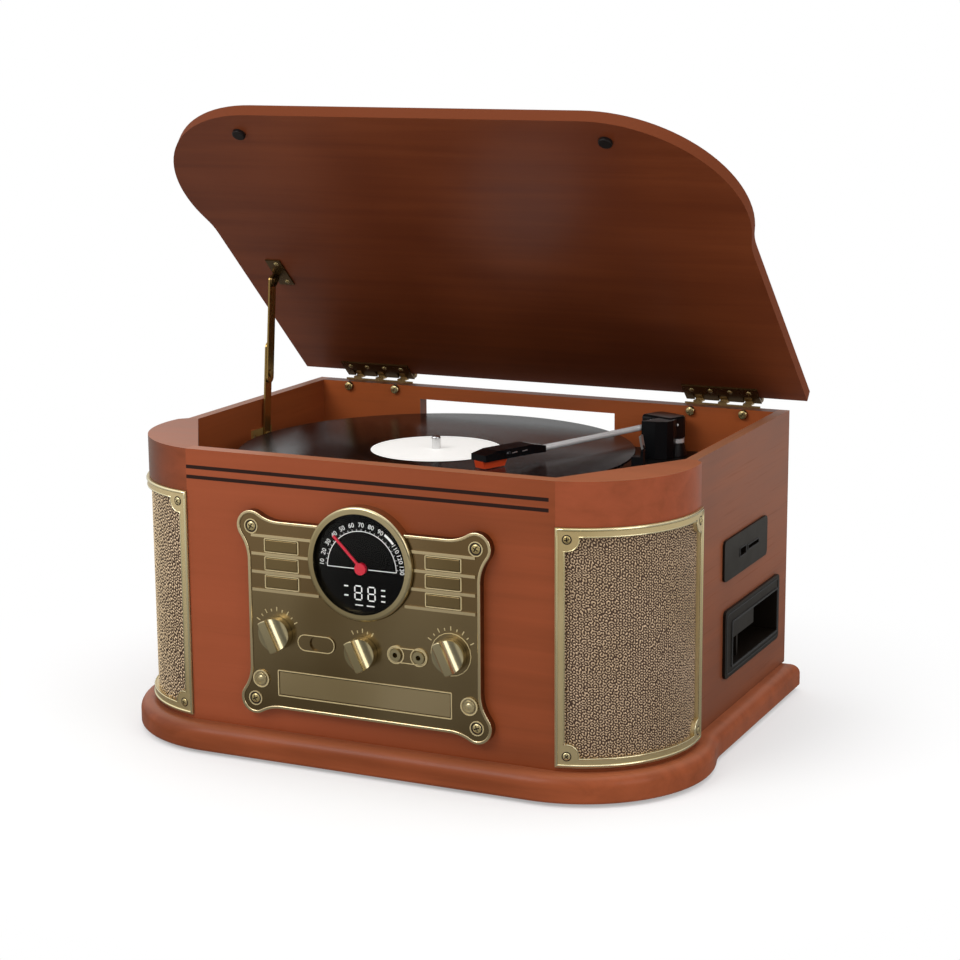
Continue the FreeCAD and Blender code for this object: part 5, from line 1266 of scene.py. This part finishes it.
class SetStage(bpy.types.Operator):
    """Sets the floor, the studio lights, the surroundings and the camera"""

    bl_idname = "record_player.set_stage"
    bl_label = "Set stage"

    def execute(self, context):
        s = context.scene.rp_stage
        self.lay_floor(s)
        self.set_surroundings(context.scene, s)
        middle = (0, 0, 0.15)
        for name, place, aim, size, power in (
            ("key", (-1.1, -1.9, 2.0), middle, (1.6, 1.2), s.key_power),
            ("fill", (2.2, -0.9, 1.2), middle, (1.2, 1.2), s.fill_power),
            ("top", (0.2, 0.3, 2.4), (0, 0, 0.1), (1.8, 1.8), s.fill_power * 1.6),
        ):
            data = bpy.data.lights.new(name, "AREA")
            data.shape = "RECTANGLE"
            data.size, data.size_y = size
            data.energy = power
            lamp = new_object(name, data)
            lamp.location = place
            way = Vector(aim) - Vector(place)
            lamp.rotation_euler = way.to_track_quat("-Z", "Y").to_euler()
        self.place_camera(context.scene, s)
        context.scene.view_settings.view_transform = "Standard"
        return {"FINISHED"}

    def lay_floor(self, s):
        """A floor that the camera sees fade to white and that reflections see grey."""
        mesh = bpy.data.meshes.new("floor")
        half = 6.0
        corners = [(-half, -half, 0), (half, -half, 0), (half, half, 0), (-half, half, 0)]
        mesh.from_pydata(corners, [], [(0, 1, 2, 3)])
        p = Paint("floor")
        p.done(Base_Color=opaque(s.floor), Roughness=0.9, Specular_IOR_Level=0.0)
        to_camera, _, _, glossy = p.outputs(p.node("ShaderNodeLightPath"))[:4]
        x, y = p.split(p.coords())[:2]
        away = p.math("SQRT", x * x + y * y)
        white = p.node("ShaderNodeEmission", None, {"Color": rgb("ffffff"), "Strength": 1.0})
        shown = p.smooth(away, 0.25, 1.3) * (s.floor_far - s.floor_near) + s.floor_near
        inputs = {"Color": (1.0, 0.97, 0.9, 1.0), "Strength": shown}
        grey = p.node("ShaderNodeEmission", None, inputs)
        fade = p.smooth(away, 0.24, 0.5) * 0.65 + 0.35
        seen = p.mix_shaders(to_camera * fade, Link(p, p.shader.outputs[0]), white)
        p.feed(p.surface.inputs[0], p.mix_shaders(glossy, seen, grey))
        mesh.materials.append(p.material)
        new_object("floor", mesh)

    def set_surroundings(self, scene, s):
        """Soft light from above. The camera sees it white, and reflections see it uneven."""
        world = bpy.data.worlds.new("studio")
        scene.world = world
        world.use_nodes = True
        world.node_tree.nodes.clear()
        g = Graph(world.node_tree)
        to_camera, _, _, glossy = g.outputs(g.node("ShaderNodeLightPath"))[:4]
        x, _, z = g.split(g.node("ShaderNodeTexCoord", None, None, "Generated"))
        soft = g.smooth(z, -0.1, 0.9) * 0.5 + 0.45
        left = 1 - g.smooth(x, -0.8, 0.2)
        mirrored = g.smooth(z, 0.05, 0.75) * 0.7 + left * 0.55 + s.sky_mirrored
        level = soft + glossy * (mirrored - soft)
        level = level + to_camera * (1 - level)
        shine = g.node("ShaderNodeBackground", None, {"Color": rgb("ffffff"), "Strength": level})
        out = world.node_tree.nodes.new("ShaderNodeOutputWorld")
        g.feed(out.inputs[0], shine)

    def place_camera(self, scene, s):
        """Looks from the right, a little down."""
        turn = Matrix.Identity(4)
        for degrees, axis in ((25.11, "Z"), (90 - 11.95, "X"), (-0.39, "Z")):
            turn = turn @ Matrix.Rotation(math.radians(degrees), 4, axis)
        data = bpy.data.cameras.new("camera")
        data.lens = s.lens
        data.sensor_width = 36.0
        scene.camera = new_object("camera", data)
        scene.camera.matrix_world = Matrix.Translation(at(730, -1368, 518)) @ turn


class Panel(bpy.types.Panel):
    """Lists the settings and the steps"""

    bl_idname = "VIEW3D_PT_record_player"
    bl_label = "Record player"
    bl_space_type = "VIEW_3D"
    bl_region_type = "UI"
    bl_category = "Record player"

    def draw(self, context):
        for attribute, group in SETTINGS:
            box = self.layout.box()
            for name in group.__annotations__:
                box.prop(getattr(context.scene, attribute), name)
        for step in STEPS:
            self.layout.operator(step.bl_idname)


SETTINGS = (
    ("rp_wood", WoodSettings),
    ("rp_metal", MetalSettings),
    ("rp_grille", GrilleSettings),
    ("rp_dial", DialSettings),
    ("rp_stage", StageSettings),
)
STEPS = (
    PaintWood,
    PaintMetal,
    PaintPlastic,
    GrowGrilles,
    AddScrews,
    OutlinePlate,
    PrintDial,
    AddArmDetails,
    AddPortDetails,
    SetStage,
)


def register():
    for attribute, group in SETTINGS:
        bpy.utils.register_class(group)
        setattr(bpy.types.Scene, attribute, bpy.props.PointerProperty(type=group))
    for step in STEPS:
        bpy.utils.register_class(step)
    bpy.utils.register_class(Panel)


def unregister():
    bpy.utils.unregister_class(Panel)
    for step in reversed(STEPS):
        bpy.utils.unregister_class(step)
    for attribute, group in reversed(SETTINGS):
        delattr(bpy.types.Scene, attribute)
        bpy.utils.unregister_class(group)


def main():
    """Runs every step in order."""
    register()
    for step in STEPS:
        group, name = step.bl_idname.split(".")
        getattr(getattr(bpy.ops, group), name)()


if __name__ == "__main__":
    main()
